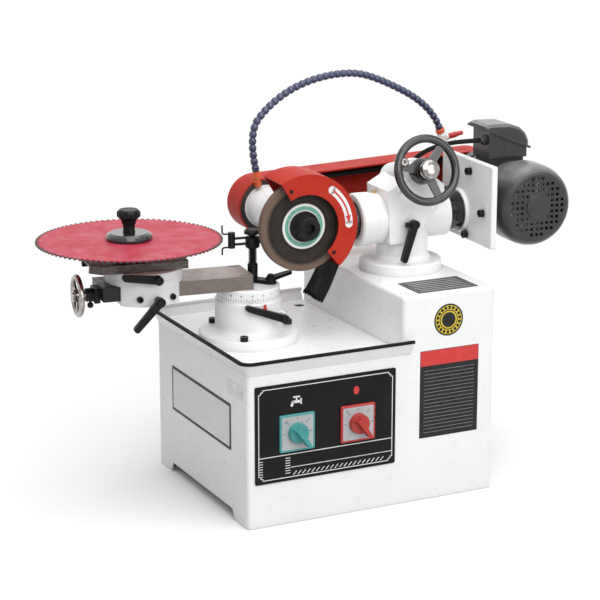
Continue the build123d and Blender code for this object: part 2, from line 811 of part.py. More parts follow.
samples = [wire @ (step / 400) for step in range(401)]
turn_step = ceil(400 * 0.6 / spring_turns)
nearest = min((a - b).length for i, a in enumerate(samples) for b in samples[i + turn_step:])
print(f"spring least gap to itself {nearest - 2 * spring_wire:.2f} mm")

with BuildPart() as index_arm:
    collar_seat = on_table(*post_place, collar_bottom)
    collar_height = collar_top - collar_bottom
    turned(collar_seat, [(0, 0), (collar_radius - 2, 0), (collar_radius, 2),
                         (collar_radius, collar_height - 2),
                         (collar_radius - 2, collar_height), (0, collar_height)])
    turned(spun(collar_seat.offset(collar_height / 2), 0, 90, 0), [(0, 0), (3.5, 0), (3.5, 18), (0, 18)])
    for z in (collar_bottom + 6, collar_top - 3):
        slab(on_table(0, post_place[1], z), [(barrel_x, -3), (post_place[0], -3), (post_place[0], 3),
                                             (barrel_x, 3)],
             3)
    turned(on_table(barrel_x, post_place[1], collar_bottom + 2), [(0, 0), (6, 0), (6, 26), (0, 26)])
    for z, tip in ((collar_bottom + 3.5, -12), (collar_bottom + 26, 15)):
        with BuildLine() as finger_path:
            corner = on_table(finger_x, post_place[1], z).origin
            bend_start = on_table(finger_x + 4, post_place[1], z).origin
            bend_end = on_table(finger_x, post_place[1], z + 4 * (1 if tip > 0 else -1)).origin
            inner = on_table(barrel_x, post_place[1], z).origin
            Line(inner, bend_start)
            TangentArc(bend_start, bend_end, tangent=corner - bend_start)
            Line(bend_end, on_table(finger_x, post_place[1], z + tip).origin)
        with BuildSketch(Plane(inner, z_dir=corner - inner)):
            Circle(finger_wire)
        sweep(path=finger_path.wires()[0])
    bore(collar_seat, rod_radius + running_gap, collar_height)
write(index_arm.part, "index_arm")

with BuildPart() as index_lever:
    with BuildSketch(on_table(*base_foot, ring_top + 6.2)):
        Circle(8)
        with Locations((41, 28)):
            Circle(5.5)
        make_hull()
    extrude(amount=5)
    turned(on_table(*base_foot, ring_top + 11.2), [(0, 0), (6, 0), (6, 3), (4, 5), (0, 5)])
write(index_lever.part, "index_lever")

# Column flange and head casting
with BuildPart() as column_flange:
    height = column_flange_top - tall_height
    turned(on_head(column_flange_x, 0, tall_height), [(0, 0), (column_flange_radius, 0),
                                                      (column_flange_radius, height - 3),
                                                      (column_flange_radius - 3, height), (0, height)])
    bore(on_head(0, 0, column_flange_top), spigot_radius + running_gap, -spigot_depth - 1)
write(column_flange.part, "column_flange")

with BuildPart() as head_casting:
    column_height = sleeve_z - column_flange_top
    turned(on_head(0, 0, column_flange_top), [(0, -spigot_depth), (spigot_radius, -spigot_depth),
                                              (spigot_radius, 8), (0, 8)])
    turned(on_head(column_x, 0, column_flange_top), [(0, 0), (column_radius + 6, 0), (column_radius, 10),
                                                     (column_radius, column_height), (0, column_height)])
    barrel_length = barrel_right - barrel_left
    turned(on_head(barrel_left, 0, sleeve_z, Plane.YZ), [(0, 0), (collar_left_radius - 3, 0),
                                                         (collar_left_radius, 3),
                                                         (collar_left_radius, collar_left_length),
                                                         (waist_radius, collar_left_length + 2),
                                                         (waist_radius, -barrel_left),
                                                         (barrel_radius, -barrel_left),
                                                         (barrel_radius, barrel_length), (0, barrel_length)])
    slab(on_head(0, block_front, 0, Plane.XZ), [(-36, 402), (6, 402), (14, 410), (53, 464),
                                                (block_right, 480), (block_right, 497), (36, block_top),
                                                (8, block_top), (-40, 492.5)], block_front - block_rear)
    gear_cover_length = gear_cover_rear - block_front + 4
    turned(on_traverse(traverse_x, gear_cover_rear, traverse_rise, Plane.XZ),
           [(0, 0), (gear_cover_radius, 0), (gear_cover_radius, gear_cover_length - 3),
            (gear_cover_radius - 3, gear_cover_length), (0, gear_cover_length)])
    turned(on_traverse(traverse_x, -52, traverse_rise, Plane.XZ), [(0, 0), (boss_radius + 4, 0),
                                                                   (boss_radius + 4, 14),
                                                                   (boss_radius, 18),
                                                                   (boss_radius, -52 - boss_front),
                                                                   (0, -52 - boss_front)])
    lever_x, lever_z = sleeve_lever_place
    turned(on_head(lever_x, sleeve_lever_face, lever_z, Plane.XZ), [(0, -10), (12, -10), (12, 0), (0, 0)])
    gland_x, gland_y, gland_top = lead_route[-1]
    slab(on_head(gland_x, gland_y, gland_top - 44), [(-11, -36), (11, -36), (11, 11), (-11, 11)], 34)
    turned(on_head(gland_x, gland_y, gland_top), [(0, -12), (9, -12), (9, -5), (7, -4), (7, 0), (0, 0)])
    bore(on_head(barrel_left, 0, sleeve_z, Plane.YZ), sleeve_radius + running_gap, barrel_length)
    rack_room = gear_width / 2 + 1
    rack_slot = traverse_rise - 16
    slab(on_traverse(0, 0, 0, Plane.XZ), [(-36, 0), (61, 0), (61, rack_slot), (-36, rack_slot)],
         rack_room, Mode.SUBTRACT, both=True)
    gear_reach = gear_module * pinion_teeth / 2 + gear_module
    bore(on_traverse(traverse_x, -rack_room, traverse_rise, Plane.XZ), gear_reach + 1, -60)
    bore(on_traverse(traverse_x, boss_front, traverse_rise, Plane.XZ), traverse_shaft_radius + running_gap,
         boss_front)
write(head_casting.part, "head_casting")

with BuildPart() as sleeve_lever:
    sleeve_lever_seat = on_head(lever_x, sleeve_lever_face - 0.3, lever_z, Plane.XZ)
    clamp_lever(sleeve_lever_seat, 62, 253, stub=6)
    slab(sleeve_lever_seat.offset(7), [(0, -4), (-16, -4), (-16, 4), (0, 4)], 6)
write(sleeve_lever.part, "sleeve_lever")

# Sleeve with its rack, and the traverse pinion and handwheel
pitch_line = traverse_rise - gear_module * pinion_teeth / 2
gear_pitch = pi * gear_module
with BuildPart() as sleeve:
    sleeve_length = plate_left - sleeve_left
    turned(on_head(sleeve_left, 0, sleeve_z, Plane.YZ), [(sleeve_bore, 0), (sleeve_radius, 0),
                                                         (sleeve_radius, sleeve_length),
                                                         (sleeve_bore, sleeve_length)])
    rack_middle = traverse_x - gear_pitch
    rack_points = [(rack_middle - gear_pitch * rack_teeth / 2, sleeve_bore + 6)]
    for tooth in range(rack_teeth):
        centre = rack_middle + gear_pitch * (tooth - (rack_teeth - 1) / 2)
        for share, rise in ((-1.55, -1.25), (-0.5, 1), (0.5, 1), (1.55, -1.25)):
            rack_points.append((centre + share * tooth_share * gear_pitch / 2, pitch_line + rise * gear_module))
    rack_points.append((rack_middle + gear_pitch * rack_teeth / 2, sleeve_bore + 6))
    slab(on_traverse(0, 0, 0, Plane.XZ), rack_points, gear_width / 2, both=True)
write(sleeve.part, "sleeve")

with BuildPart() as traverse_pinion:
    slab(on_traverse(traverse_x, 0, traverse_rise, Plane.XZ), gear_outline(gear_module, pinion_teeth),
         gear_width / 2, both=True)
    nut = gear_width / 2 - traverse_wheel_y + 5
    turned(on_traverse(traverse_x, gear_width / 2, traverse_rise, Plane.XZ),
           [(0, 0), (traverse_shaft_radius, 0), (traverse_shaft_radius, nut), (14, nut), (14, nut + 5),
            (10, nut + 10),
            (0, nut + 11)])
write(traverse_pinion.part, "traverse_pinion")

with BuildPart() as traverse_handwheel:
    wheel_seat = on_traverse(traverse_x, traverse_wheel_y, traverse_rise, Plane.XZ)
    spoked_wheel(wheel_seat, traverse_wheel_radius, 7, 16, 20, 50, 8, -5)
    bore(wheel_seat.offset(-40), traverse_shaft_radius, 80)
write(traverse_handwheel.part, "traverse_handwheel")

# Motor plate and motor
with BuildPart() as motor_plate:
    with BuildSketch(on_head(plate_left, 0, 0, Plane.YZ)):
        with Locations(((plate_front + plate_rear) / 2, (plate_bottom + plate_top) / 2)):
            RectangleRounded(plate_rear - plate_front, plate_top - plate_bottom, 4)
        with Locations(*plate_bolt_places):
            Circle(4.2, mode=Mode.SUBTRACT)
    extrude(amount=plate_thickness)
    chamfer(motor_plate.faces().sort_by(Axis(head.origin, head.x_dir))[0].outer_wire().edges(), 1.5)
    turned(spun(on_head(plate_left, 0, sleeve_z, Plane.YZ), 180, 0, 0),
           [(sleeve_radius + 0.02, -1), (plate_boss_radius, -1), (plate_boss_radius, 2),
            (plate_boss_radius - 2, plate_boss_height), (sleeve_radius + 0.02, plate_boss_height)])
write(motor_plate.part, "motor_plate")

with BuildPart() as motor_plate_bolts:
    for y, z in plate_bolt_places:
        bolt_seat = spun(on_head(plate_left, y, z, Plane.YZ), 180, 0, 0)
        turned(bolt_seat, [(0, -plate_thickness), (4, -plate_thickness), (4, 0), (6.5, 0), (6.5, 8), (0, 8)])
        with BuildSketch(bolt_seat.offset(8)):
            RegularPolygon(3.4, 6)
        extrude(amount=-4.5, mode=Mode.SUBTRACT)
write(motor_plate_bolts.part, "motor_plate_bolts")

motor_seat = spun(on_head(motor_x, motor_front, motor_z, Plane.XZ), 180, 0, 0)
motor_length = motor_rear - motor_front
with BuildPart() as motor_housing:
    turned(motor_seat, [(0, 0), (motor_radius, 0), (motor_radius, motor_length - 26),
                        (motor_radius + 3, motor_length - 24),
                        (motor_radius + 3, motor_length - 8), (motor_radius - 14, motor_length),
                        (26, motor_length),
                        (24, motor_length + 6), (0, motor_length + 6)])
    foot_reach = motor_x - plate_left - plate_thickness - 20
    for z in (motor_z - 48, motor_z + 36):
        slab(on_head(plate_left + plate_thickness, 0, z), [(0, plate_foot[0]), (foot_reach, plate_foot[0]),
                                                           (foot_reach, plate_foot[1]), (0, plate_foot[1])],
                                                           12)
    slab(on_head(0, 0, motor_z), [(box_left + 4, box_front + 4), (box_right - 4, box_front + 4),
                                  (box_right - 4, box_rear - 4), (box_left + 4, box_rear - 4)],
                                  box_foot - motor_z)
    bore(motor_seat.offset(-1), motor_shaft_radius + running_gap, motor_length + 10)
write(motor_housing.part, "motor_housing")

cowl_rear = motor_front + 6
cowl_length = cowl_rear - cowl_front
with BuildPart() as fan_cowl:
    cowl_seat = on_head(motor_x, cowl_rear, motor_z, Plane.XZ)
    skin = cowl_radius - cowl_sheet
    turns = [radians(step) for step in (0, 18, 36, 54, 72, 90)]
    outer = [(cowl_face_radius + (cowl_radius - cowl_face_radius) * cos(turn),
              cowl_length - cowl_shoulder * (1 - sin(turn))) for turn in turns]
    inner = [(radius - cowl_sheet, height - cowl_sheet * sin(turn)) for turn, (radius, height) in zip(turns,
                                                                                                      outer)]
    turned(cowl_seat, [(motor_radius + 0.05, 0), (cowl_radius, 0), *outer, (0, cowl_length),
                       (0, cowl_length - cowl_sheet), *reversed(inner), (skin, 6), (motor_radius + 0.05, 6)])
    holes = []
    for column in range(-5, 6):
        for row in range(-5, 6):
            reach = grille_pitch * (column * column + row * row) ** 0.5
            if grille_boss + 4 < reach < grille_radius - 3:
                holes.append((column * grille_pitch, row * grille_pitch))
    with BuildSketch(cowl_seat.offset(cowl_length)):
        with Locations(*holes):
            Rectangle(grille_hole, grille_hole)
    extrude(amount=-4, mode=Mode.SUBTRACT)
    with BuildSketch(cowl_seat.offset(cowl_length)):
        Circle(grille_boss)
    extrude(amount=2)
write(fan_cowl.part, "fan_cowl")

with BuildPart() as terminal_box:
    slab(on_head(0, box_front, 0, Plane.XZ), [(box_left, box_foot), (box_right, box_foot),
                                              (box_right, box_right_top),
                                              (box_left, box_left_top)], box_front - box_rear)
    box_slope = degrees(atan2(box_left_top - box_right_top, box_right - box_left))
    lid_length = (box_right - box_left) / cos(radians(box_slope)) + 2 * lid_overhang
    box_middle = on_head((box_left + box_right) / 2, (box_front + box_rear) / 2,
                         (box_left_top + box_right_top) / 2)
    lid_seat = spun(box_middle, 0, box_slope, 0)
    with BuildSketch(lid_seat):
        with Locations((lid_shift, 0)):
            RectangleRounded(lid_length, box_rear - box_front + 12, lid_corner)
    extrude(amount=lid_rim)
    with BuildPart(mode=Mode.PRIVATE) as lid:
        slab(on_head(0, box_front - lid_inset, 0, Plane.XZ), lid_outline, box_front - box_rear - 2 * lid_inset)
        ends = lid.faces().sort_by(Axis(head.origin, head.y_dir))
        for end in (ends[0], ends[-1]):
            chamfer(end.edges().sort_by(SortBy.LENGTH)[:-1], lid_edge)
    add(lid.part)
    gland_length = box_left - lead_route[0][0]
    turned(spun(on_head(box_left, *lead_route[0][1:], Plane.YZ), 180, 0, 0),
           [(0, -2), (9, -2), (9, 4), (7, 5), (7, gland_length), (0, gland_length)])
write(terminal_box.part, "terminal_box")

with BuildPart() as motor_rotor:
    shaft_front = cowl_front + 14
    shaft_seat = spun(on_head(motor_x, shaft_front, motor_z, Plane.XZ), 180, 0, 0)
    shaft_length = belt_front + 22 - shaft_front
    turned(shaft_seat, [(0, 0), (motor_shaft_radius, 0), (motor_shaft_radius, shaft_length),
                        (0, shaft_length)])
    turned(shaft_seat, [(0, 2), (20, 2), (20, 24), (0, 24)])
    turned(shaft_seat, [(0, 20), (58, 20), (58, 23), (0, 23)])
    with BuildSketch(shaft_seat.offset(4)):
        with PolarLocations(37, 9):
            Rectangle(40, 2.5)
    extrude(amount=17)
write(motor_rotor.part, "motor_rotor")


def pulley(seat, shaft_radius, groove):
    # Flanged pulley whose groove is a little wider than the belt
    width = belt_width + 0.6
    turned(seat, [(shaft_radius, -6), (groove + 5, -6), (groove + 5, -0.3), (groove, -0.3),
                  (groove, width - 0.3),
                  (groove + 5, width - 0.3), (groove + 5, width + 5.4), (shaft_radius, width + 5.4)])


with BuildPart() as motor_pulley:
    pulley(spun(on_head(motor_x, belt_front, motor_z, Plane.XZ), 180, 0, 0), motor_shaft_radius, motor_groove)
write(motor_pulley.part, "motor_pulley")

# Spindle in its housing, with the grinding wheel
spindle_seat = spun(on_head(spindle_x, 0, spindle_z, Plane.XZ), 180, 0, 0)
with BuildPart() as spindle_housing:
    rear_flange = belt_guard_left_radius - guard_sheet - 0.05
    turned(spindle_seat, [(0, housing_front), (housing_radius, housing_front), (housing_radius, housing_rear),
                          (rear_flange, housing_rear), (rear_flange, housing_rear + 6),
                          (0, housing_rear + 6)])
    socket_left = spindle_x + 10
    socket_length = socket_right - socket_left
    turned(on_head(socket_left, 0, sleeve_z, Plane.YZ), [(0, 0), (socket_radius, 0),
                                                       (socket_radius, socket_length - 3),
                                                       (socket_radius - 3, socket_length),
                                                       (0, socket_length)])
    bore(on_head(sleeve_left, 0, sleeve_z, Plane.YZ), sleeve_radius + 0.02, 60)
    bore(spindle_seat.offset(housing_front), spindle_radius + 3, housing_rear - housing_front + 6)
    bore(spindle_seat.offset(housing_front - 6), bearing_radius + 0.02, bearing_width + 6)
    bore(spindle_seat.offset(housing_rear + 6), bearing_radius + 0.02, -bearing_width)
write(spindle_housing.part, "spindle_housing")

with BuildPart() as spindle_bearings:
    for y in (housing_front, housing_rear + 6 - bearing_width):
        turned(spindle_seat.offset(y), [(spindle_radius + running_gap, 0), (bearing_radius, 0),
                                        (bearing_radius, bearing_width), (spindle_radius + running_gap,
                                                                          bearing_width)])
write(spindle_bearings.part, "spindle_bearings")

hub_front = wheel_front - hub_length
with BuildPart() as spindle:
    spindle_end = belt_front + belt_width + 8
    nose = hub_front + socket_depth
    turned(spindle_seat, [(0, nose), (9, nose), (9, wheel_front), (spindle_radius, wheel_front),
                          (spindle_radius, wheel_rear), (hub_radius, wheel_rear),
                          (hub_radius, wheel_rear + 3.5), (spindle_radius, wheel_rear + 3.5),
                          (spindle_radius, spindle_end), (0, spindle_end)])
write(spindle.part, "spindle")

with BuildPart() as grinding_wheel:
    turned(spindle_seat, [(spindle_radius, wheel_front), (wheel_radius - 1.5, wheel_front),
                          (wheel_radius, wheel_front + 1.5), (wheel_radius, wheel_rear - 9),
                          (wheel_radius - 14, wheel_rear), (spindle_radius, wheel_rear)])
write(grinding_wheel.part, "grinding_wheel")

with BuildPart() as wheel_flange:
    turned(spindle_seat, [(9, hub_front), (hub_neck - 2, hub_front), (hub_neck, hub_front + 2),
                          (hub_neck, wheel_front - 14), (hub_radius, wheel_front - 6),
                          (hub_radius, wheel_front),
                          (9, wheel_front)])
write(wheel_flange.part, "wheel_flange")

with BuildPart() as spindle_pulley:
    pulley(spindle_seat.offset(belt_front), spindle_radius, spindle_groove)
write(spindle_pulley.part, "spindle_pulley")

# Wheel guard with its splash flap


def ring_sector(seat, inner, outer, amount):
    # Part of a flat ring between the two ends of the guard
    sweep_angle = guard_end - guard_start
    with BuildSketch(seat) as sector:
        with BuildLine():
            near = CenterArc((0, 0), inner, guard_start, sweep_angle)
            far = CenterArc((0, 0), outer, guard_start, sweep_angle)
            Line(near @ 0, far @ 0)
            Line(near @ 1, far @ 1)
        make_face()
    extrude(sector.sketch, amount=amount)


guard_face = on_head(spindle_x, 0, spindle_z, Plane.XZ)
with BuildPart() as wheel_guard:
    ring_sector(guard_face.offset(-guard_front - guard_sheet), guard_window, guard_radius, guard_sheet)
    ring_sector(guard_face.offset(-guard_rear), guard_radius - guard_sheet, guard_radius,
                guard_rear - guard_front)
    ring_sector(guard_face.offset(-guard_rear), housing_radius + 0.05, guard_radius, guard_sheet)
    arm_gap = socket_radius + 2
    slab(on_head(spindle_x, 0, sleeve_z, Plane.YZ), [(-arm_gap, -arm_gap), (arm_gap, -arm_gap),
                                                     (arm_gap, arm_gap),
                                                     (-arm_gap, arm_gap)], 150, Mode.SUBTRACT)
write(wheel_guard.part, "wheel_guard")

with BuildPart() as splash_flap:
    edge = radians(guard_start)
    flap_start = [(spindle_x + reach * cos(edge), spindle_z + reach * sin(edge))
                  for reach in (guard_radius - guard_sheet, guard_radius)]
    slab(on_head(0, guard_front + 2, 0, Plane.XZ), [*flap_start, (spindle_x + 27, flap_foot),
                                                    (spindle_x + 23, flap_foot)],
         guard_front - guard_rear + 4)
    for slit in range(6):
        slab(on_head(spindle_x + 10, guard_front + 12 + 9.5 * slit, flap_foot - 5),
             [(0, 0), (50, 0), (50, 1.5), (0, 1.5)], 22, Mode.SUBTRACT)
write(splash_flap.part, "splash_flap")

# Belt and its guard


def belt_loop(seat, left_radius, right_radius, amount, mode=Mode.ADD):
    # Solid outline wrapped round the spindle and the motor shaft
    with BuildSketch(seat) as loop:
        with Locations((spindle_x, spindle_z)):
            Circle(left_radius)
        with Locations((motor_x, motor_z)):
            Circle(right_radius)
        make_hull()
    extrude(loop.sketch, amount=amount, mode=mode)


with BuildPart() as belt_guard:
    rear_face = on_head(0, belt_guard_rear, 0, Plane.XZ)
    belt_loop(rear_face, belt_guard_left_radius, belt_guard_right_radius, belt_guard_rear - belt_guard_front)
    fillet(belt_guard.faces().sort_by(Axis(head.origin, head.y_dir))[-1].edges(), 4)
    belt_loop(rear_face.offset(guard_sheet), belt_guard_left_radius - guard_sheet,
              belt_guard_right_radius - guard_sheet,
              belt_guard_rear - belt_guard_front, Mode.SUBTRACT)
write(belt_guard.part, "belt_guard")

with BuildPart() as drive_belt:
    belt_face = on_head(0, belt_front + belt_width, 0, Plane.XZ)
    belt_loop(belt_face, spindle_groove + 0.3 + belt_height, motor_groove + 0.3 + belt_height, belt_width)
    belt_loop(belt_face, spindle_groove + 0.3, motor_groove + 0.3, belt_width, Mode.SUBTRACT)
write(drive_belt.part, "drive_belt")

# Coolant valve, ribbed hose and nozzle
arch_x = head.from_local_coords(Vector(*hose_end, 0)) - head.from_local_coords(Vector(*hose_start, 0))
arch = Plane(head.from_local_coords(Vector(*hose_start, 0)), x_dir=arch_x, z_dir=arch_x.cross(Vector(0, 0,
                                                                                                     1)))
hose_radii = run_radii([(s, z, 0) for s, z in hose_route])
print("hose bend radii", [round(r) for r in hose_radii])
with BuildPart() as coolant_hose:
    with BuildLine(arch) as hose_path:
        FilletPolyline(*hose_route, radius=hose_radii)
    hose_wire = hose_path.wires()[0]
    print(f"hose length {hose_wire.length:.0f} mm")
    stations = [(0, hose_radius)]
    plain = 2.2 * hose_radius / hose_wire.length
    rib = (1 - 2 * plain) / hose_ribs
    for index in range(hose_ribs):
        for share, radius in ((0.05, hose_waist), (0.25, hose_radius), (0.75, hose_radius),
                              (0.95, hose_waist)):
            stations.append((plain + rib * (index + share), radius))
    stations.append((1, hose_radius))
    for place, radius in stations:
        with BuildSketch(Plane(hose_wire @ place, x_dir=arch.z_dir, z_dir=hose_wire % place)):
            Circle(radius)
    loft(ruled=True)
    with BuildSketch(Plane(hose_wire @ 0, x_dir=arch.z_dir, z_dir=hose_wire % 0)):
        Circle(hose_bore)
    sweep(path=hose_wire, mode=Mode.SUBTRACT)
write(coolant_hose.part, "coolant_hose")

with BuildPart() as coolant_valve:
    turned(on_head(*hose_end, 0), [(0, 505), (9, 505), (9, valve_top - 4), (7, valve_top), (0, valve_top)])
    turned(Plane(hose_wire @ 1, x_dir=arch.z_dir, z_dir=hose_wire % 1),
           [(0, 0), (hose_radius + 1.5, 0), (hose_radius + 1.5, 5), (hose_radius, 6), (hose_radius, 14),
            (0, 14)])
    arm_seat = spun(spun(on_head(*hose_end, valve_arm_z, Plane.XZ), 0, 0, valve_arm_rise), 0, 90, 0)
    turned(arm_seat, [(0, 0), (6, 0), (6, 11), (0, 11)])
    bore(arm_seat.offset(11), 2.5 + running_gap, -8)
    belt_loop(on_head(0, belt_guard_rear, 0, Plane.XZ), belt_guard_left_radius, belt_guard_right_radius,
              belt_guard_rear - belt_guard_front, Mode.SUBTRACT)
write(coolant_valve.part, "coolant_valve")

with BuildPart() as valve_lever:
    valve_seat = arm_seat.offset(11.3)
    turned(valve_seat, [(0, -7), (2.5, -7), (2.5, 0), (5, 0), (5, 1), (4.4, 2.5), (5, 4), (5, 27), (4, 29),
                        (0, 29)])
    for side in (-1, 1):
        with BuildSketch(valve_seat.offset(17)):
            with Locations((0, side * 6)):
                Rectangle(14, 6)
        extrude(amount=14, mode=Mode.SUBTRACT)
write(valve_lever.part, "valve_lever")

with BuildPart() as coolant_nozzle:
    nozzle_seat = Plane(hose_wire @ 0, x_dir=arch.z_dir, z_dir=-(hose_wire % 0))
    turned(nozzle_seat, [(0, 0), (hose_radius, 0), (hose_radius, 10), (4.5, 14), (2.5, 27), (1.5, 27),
                         (1.5, 18), (0, 18)])
    bracket_depth = housing_rear - hose_start[1]
    slab(on_head(hose_start[0] + 7, hose_start[1], 490), [(-2, 0), (8, 0), (8, bracket_depth),
                                                          (-2, bracket_depth)], 8)
write(coolant_nozzle.part, "coolant_nozzle")

# Motor lead from the terminal box to the back of the casting
lead_points = [on_head(*point).origin for point in lead_route]
lead_radii = run_radii([tuple(point) for point in lead_points])
print("lead bend radii", [round(r) for r in lead_radii])
with BuildPart() as motor_lead:
    with BuildLine() as lead_path:
        FilletPolyline(*lead_points, radius=lead_radii)
    lead_wire = lead_path.wires()[0]
    print(f"lead length {lead_wire.length:.0f} mm")
    with BuildSketch(Plane(lead_wire @ 0, z_dir=lead_wire % 0)):
        Circle(lead_radius)
    sweep(path=lead_wire)
write(motor_lead.part, "motor_lead")
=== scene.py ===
import bpy
import bmesh
import json
import math
from mathutils import Matrix, Vector


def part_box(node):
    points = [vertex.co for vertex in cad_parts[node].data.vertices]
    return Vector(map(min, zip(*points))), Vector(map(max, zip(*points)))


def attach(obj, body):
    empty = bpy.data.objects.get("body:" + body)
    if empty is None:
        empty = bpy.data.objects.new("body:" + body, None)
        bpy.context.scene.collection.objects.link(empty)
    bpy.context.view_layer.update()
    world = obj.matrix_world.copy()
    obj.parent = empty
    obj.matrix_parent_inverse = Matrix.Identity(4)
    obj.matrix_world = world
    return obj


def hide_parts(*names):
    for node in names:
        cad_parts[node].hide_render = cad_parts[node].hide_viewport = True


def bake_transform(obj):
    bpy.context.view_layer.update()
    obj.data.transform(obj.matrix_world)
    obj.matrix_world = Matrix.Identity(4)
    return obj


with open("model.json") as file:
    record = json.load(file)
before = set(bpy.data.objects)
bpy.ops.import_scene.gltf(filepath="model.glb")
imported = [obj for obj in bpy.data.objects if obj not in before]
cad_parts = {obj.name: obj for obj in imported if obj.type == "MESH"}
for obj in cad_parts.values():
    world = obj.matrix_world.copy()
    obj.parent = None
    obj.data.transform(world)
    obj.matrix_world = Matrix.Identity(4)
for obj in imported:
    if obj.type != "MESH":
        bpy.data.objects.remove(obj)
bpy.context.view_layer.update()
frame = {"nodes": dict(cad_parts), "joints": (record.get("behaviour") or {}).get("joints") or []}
cadNodes = frame["nodes"]
scene = bpy.context.scene
mm = 0.001
core = 0.01  # turned outlines begin this far from their axis, in millimetres
weld = 1e-7  # corners closer than this are one, in metres
up = Vector((0, 0, 1))
jointPlace = {j["name"]: Vector(j["pos_m"]) for j in frame["joints"] if "pos_m" in j}
jointAxis = {j["name"]: Vector(j["axis"]) for j in frame["joints"]}
tableAlong = jointAxis["carriage_feed"]  # the guide bar runs this way
tableBack = up.cross(tableAlong)
headAlong = jointAxis["wheel_slide"]  # the sleeve runs this way
headBack = jointAxis["spindle_turn"]
spindleAt = jointPlace["spindle_turn"]
print("frame loaded:", len(cadNodes), "nodes")


def onSwivel(joint, along, back):  # gives places in millimetres from a swivel's axis
    foot = Vector((*jointPlace[joint].xy, 0))
    return lambda x, y, z: foot + (along * x + back * y + up * z) * mm


onTable = onSwivel("table_swivel", tableAlong, tableBack)
onHead = onSwivel("head_swivel", headAlong, headBack)


def facing(origin, right, over):  # local X right, local Y up, local Z out of the face
    right = Vector(right).normalized()
    out = right.cross(Vector(over)).normalized()
    rise = out.cross(right)
    seat = Matrix((right, rise, out)).transposed().to_4x4()
    seat.translation = origin
    return seat


def at(seat, x, y, z):  # a place on a seat, from millimetres
    return seat @ Vector((x * mm, y * mm, z * mm))


def polar(reach, bearing):  # bearing in degrees
    turn = math.radians(bearing)
    return reach * math.cos(turn), reach * math.sin(turn)


def nearest(node, origin, way):  # where a node starts along a direction from a point
    return min((v.co - origin).dot(way) for v in cadNodes[node].data.vertices)


# Node helpers for the finishes

def feed(socket, value):  # a value is set, a socket is linked
    if isinstance(value, bpy.types.NodeSocket):
        socket.id_data.links.new(value, socket)
    else:
        socket.default_value = value


def fill(node, inputs):
    for key, value in inputs.items():
        feed(node.inputs[key], value)


def addNode(tree, kind, inputs=None, **settings):
    node = tree.nodes.new(kind)
    for key, value in settings.items():
        setattr(node, key, value)
    fill(node, inputs or {})
    return node


def objectPlace(tree):
    return addNode(tree, "ShaderNodeTexCoord").outputs["Object"]


def newFinish(name):
    mat = bpy.data.materials.new(name)
    mat.use_nodes = True
    tree = mat.node_tree
    return mat, tree, tree.nodes["Principled BSDF"], objectPlace(tree)


def grain(place, size, detail, stretch=None):  # size in millimetres
    if stretch is not None:
        inputs = {"Vector": place, "Scale": stretch}
        place = addNode(place.id_data, "ShaderNodeMapping", inputs).outputs["Vector"]
    inputs = {"Vector": place, "Scale": 1 / (size * mm), "Detail": detail}
    return addNode(place.id_data, "ShaderNodeTexNoise", inputs).outputs["Fac"]


def spread(value, low, high, outLow=0, outHigh=1):
    inputs = {"Value": value, "From Min": low, "From Max": high, "To Min": outLow, "To Max": outHigh}
    return addNode(value.id_data, "ShaderNodeMapRange", inputs).outputs["Result"]


def mottle(place, size, detail, mask):  # a mask is what spread takes
    return spread(grain(place, size, detail), *mask)


def times(first, second, operation="MULTIPLY"):
    inputs = {0: first, 1: second}
    return addNode(first.id_data, "ShaderNodeMath", inputs, operation=operation).outputs["Value"]


def vectorMath(operation, first, second=(0, 0, 0)):
    node = addNode(first.id_data, "ShaderNodeVectorMath", {0: first, 1: second}, operation=operation)
    return node.outputs["Value" if operation in ("DOT_PRODUCT", "LENGTH") else "Vector"]


def tint(share, first, second):  # colours are tuples or sockets
    first, second = [(*c, 1) if isinstance(c, tuple) else c for c in (first, second)]
    inputs = {"Factor": share, 6: first, 7: second}
    return addNode(share.id_data, "ShaderNodeMix", inputs, data_type="RGBA").outputs[2]


fineDetail = 3  # of brushed lines and of the bumps
# the corner mask spreads ambient occlusion into grime and painted shade
masks = dict(edge=(0.99, 0.75), line=(0.4, 0.65), corner=(0.85, 0.25), smudge=(0.3, 0.7))
noises = dict(  # a detail and a mask
    cloud=(5, (0.35, 0.65)), speck=(2, (0.62, 0.72)), patch=(5, (0.45, 0.62)))


def roundedEdge(tree, radius):  # soft normal and a mask that is 1 on sharp edges
    soft = addNode(tree, "ShaderNodeBevel", {"Radius": radius * mm}, samples=4).outputs["Normal"]
    flat = addNode(tree, "ShaderNodeNewGeometry").outputs["Normal"]
    return soft, spread(vectorMath("DOT_PRODUCT", soft, flat), *masks["edge"])


def roughen(bsdf, place, smudge, rough):  # smudges of a size and a detail, between two roughnesses
    feed(bsdf.inputs["Roughness"], mottle(place, *smudge, (*masks["smudge"], *rough)))


def emboss(bsdf, place, peel, strength, soft=None, stretch=None):  # peel is size and depth in mm
    size, depth = peel
    inputs = {"Strength": strength, "Distance": depth * mm}
    inputs["Height"] = grain(place, size, fineDetail, stretch)
    if soft is not None:
        inputs["Normal"] = soft
    feed(bsdf.inputs["Normal"], addNode(place.id_data, "ShaderNodeBump", inputs).outputs["Normal"])


plainLook = dict(
    cloud=12, edge=0.8, worn=0.5, patch=5, smudge=(18, 6), grimeReach=12, metal=0, coat=0, coatRough=0.1,
    specular=0.5, peel=(0.8, 0.03), bump=0.5)


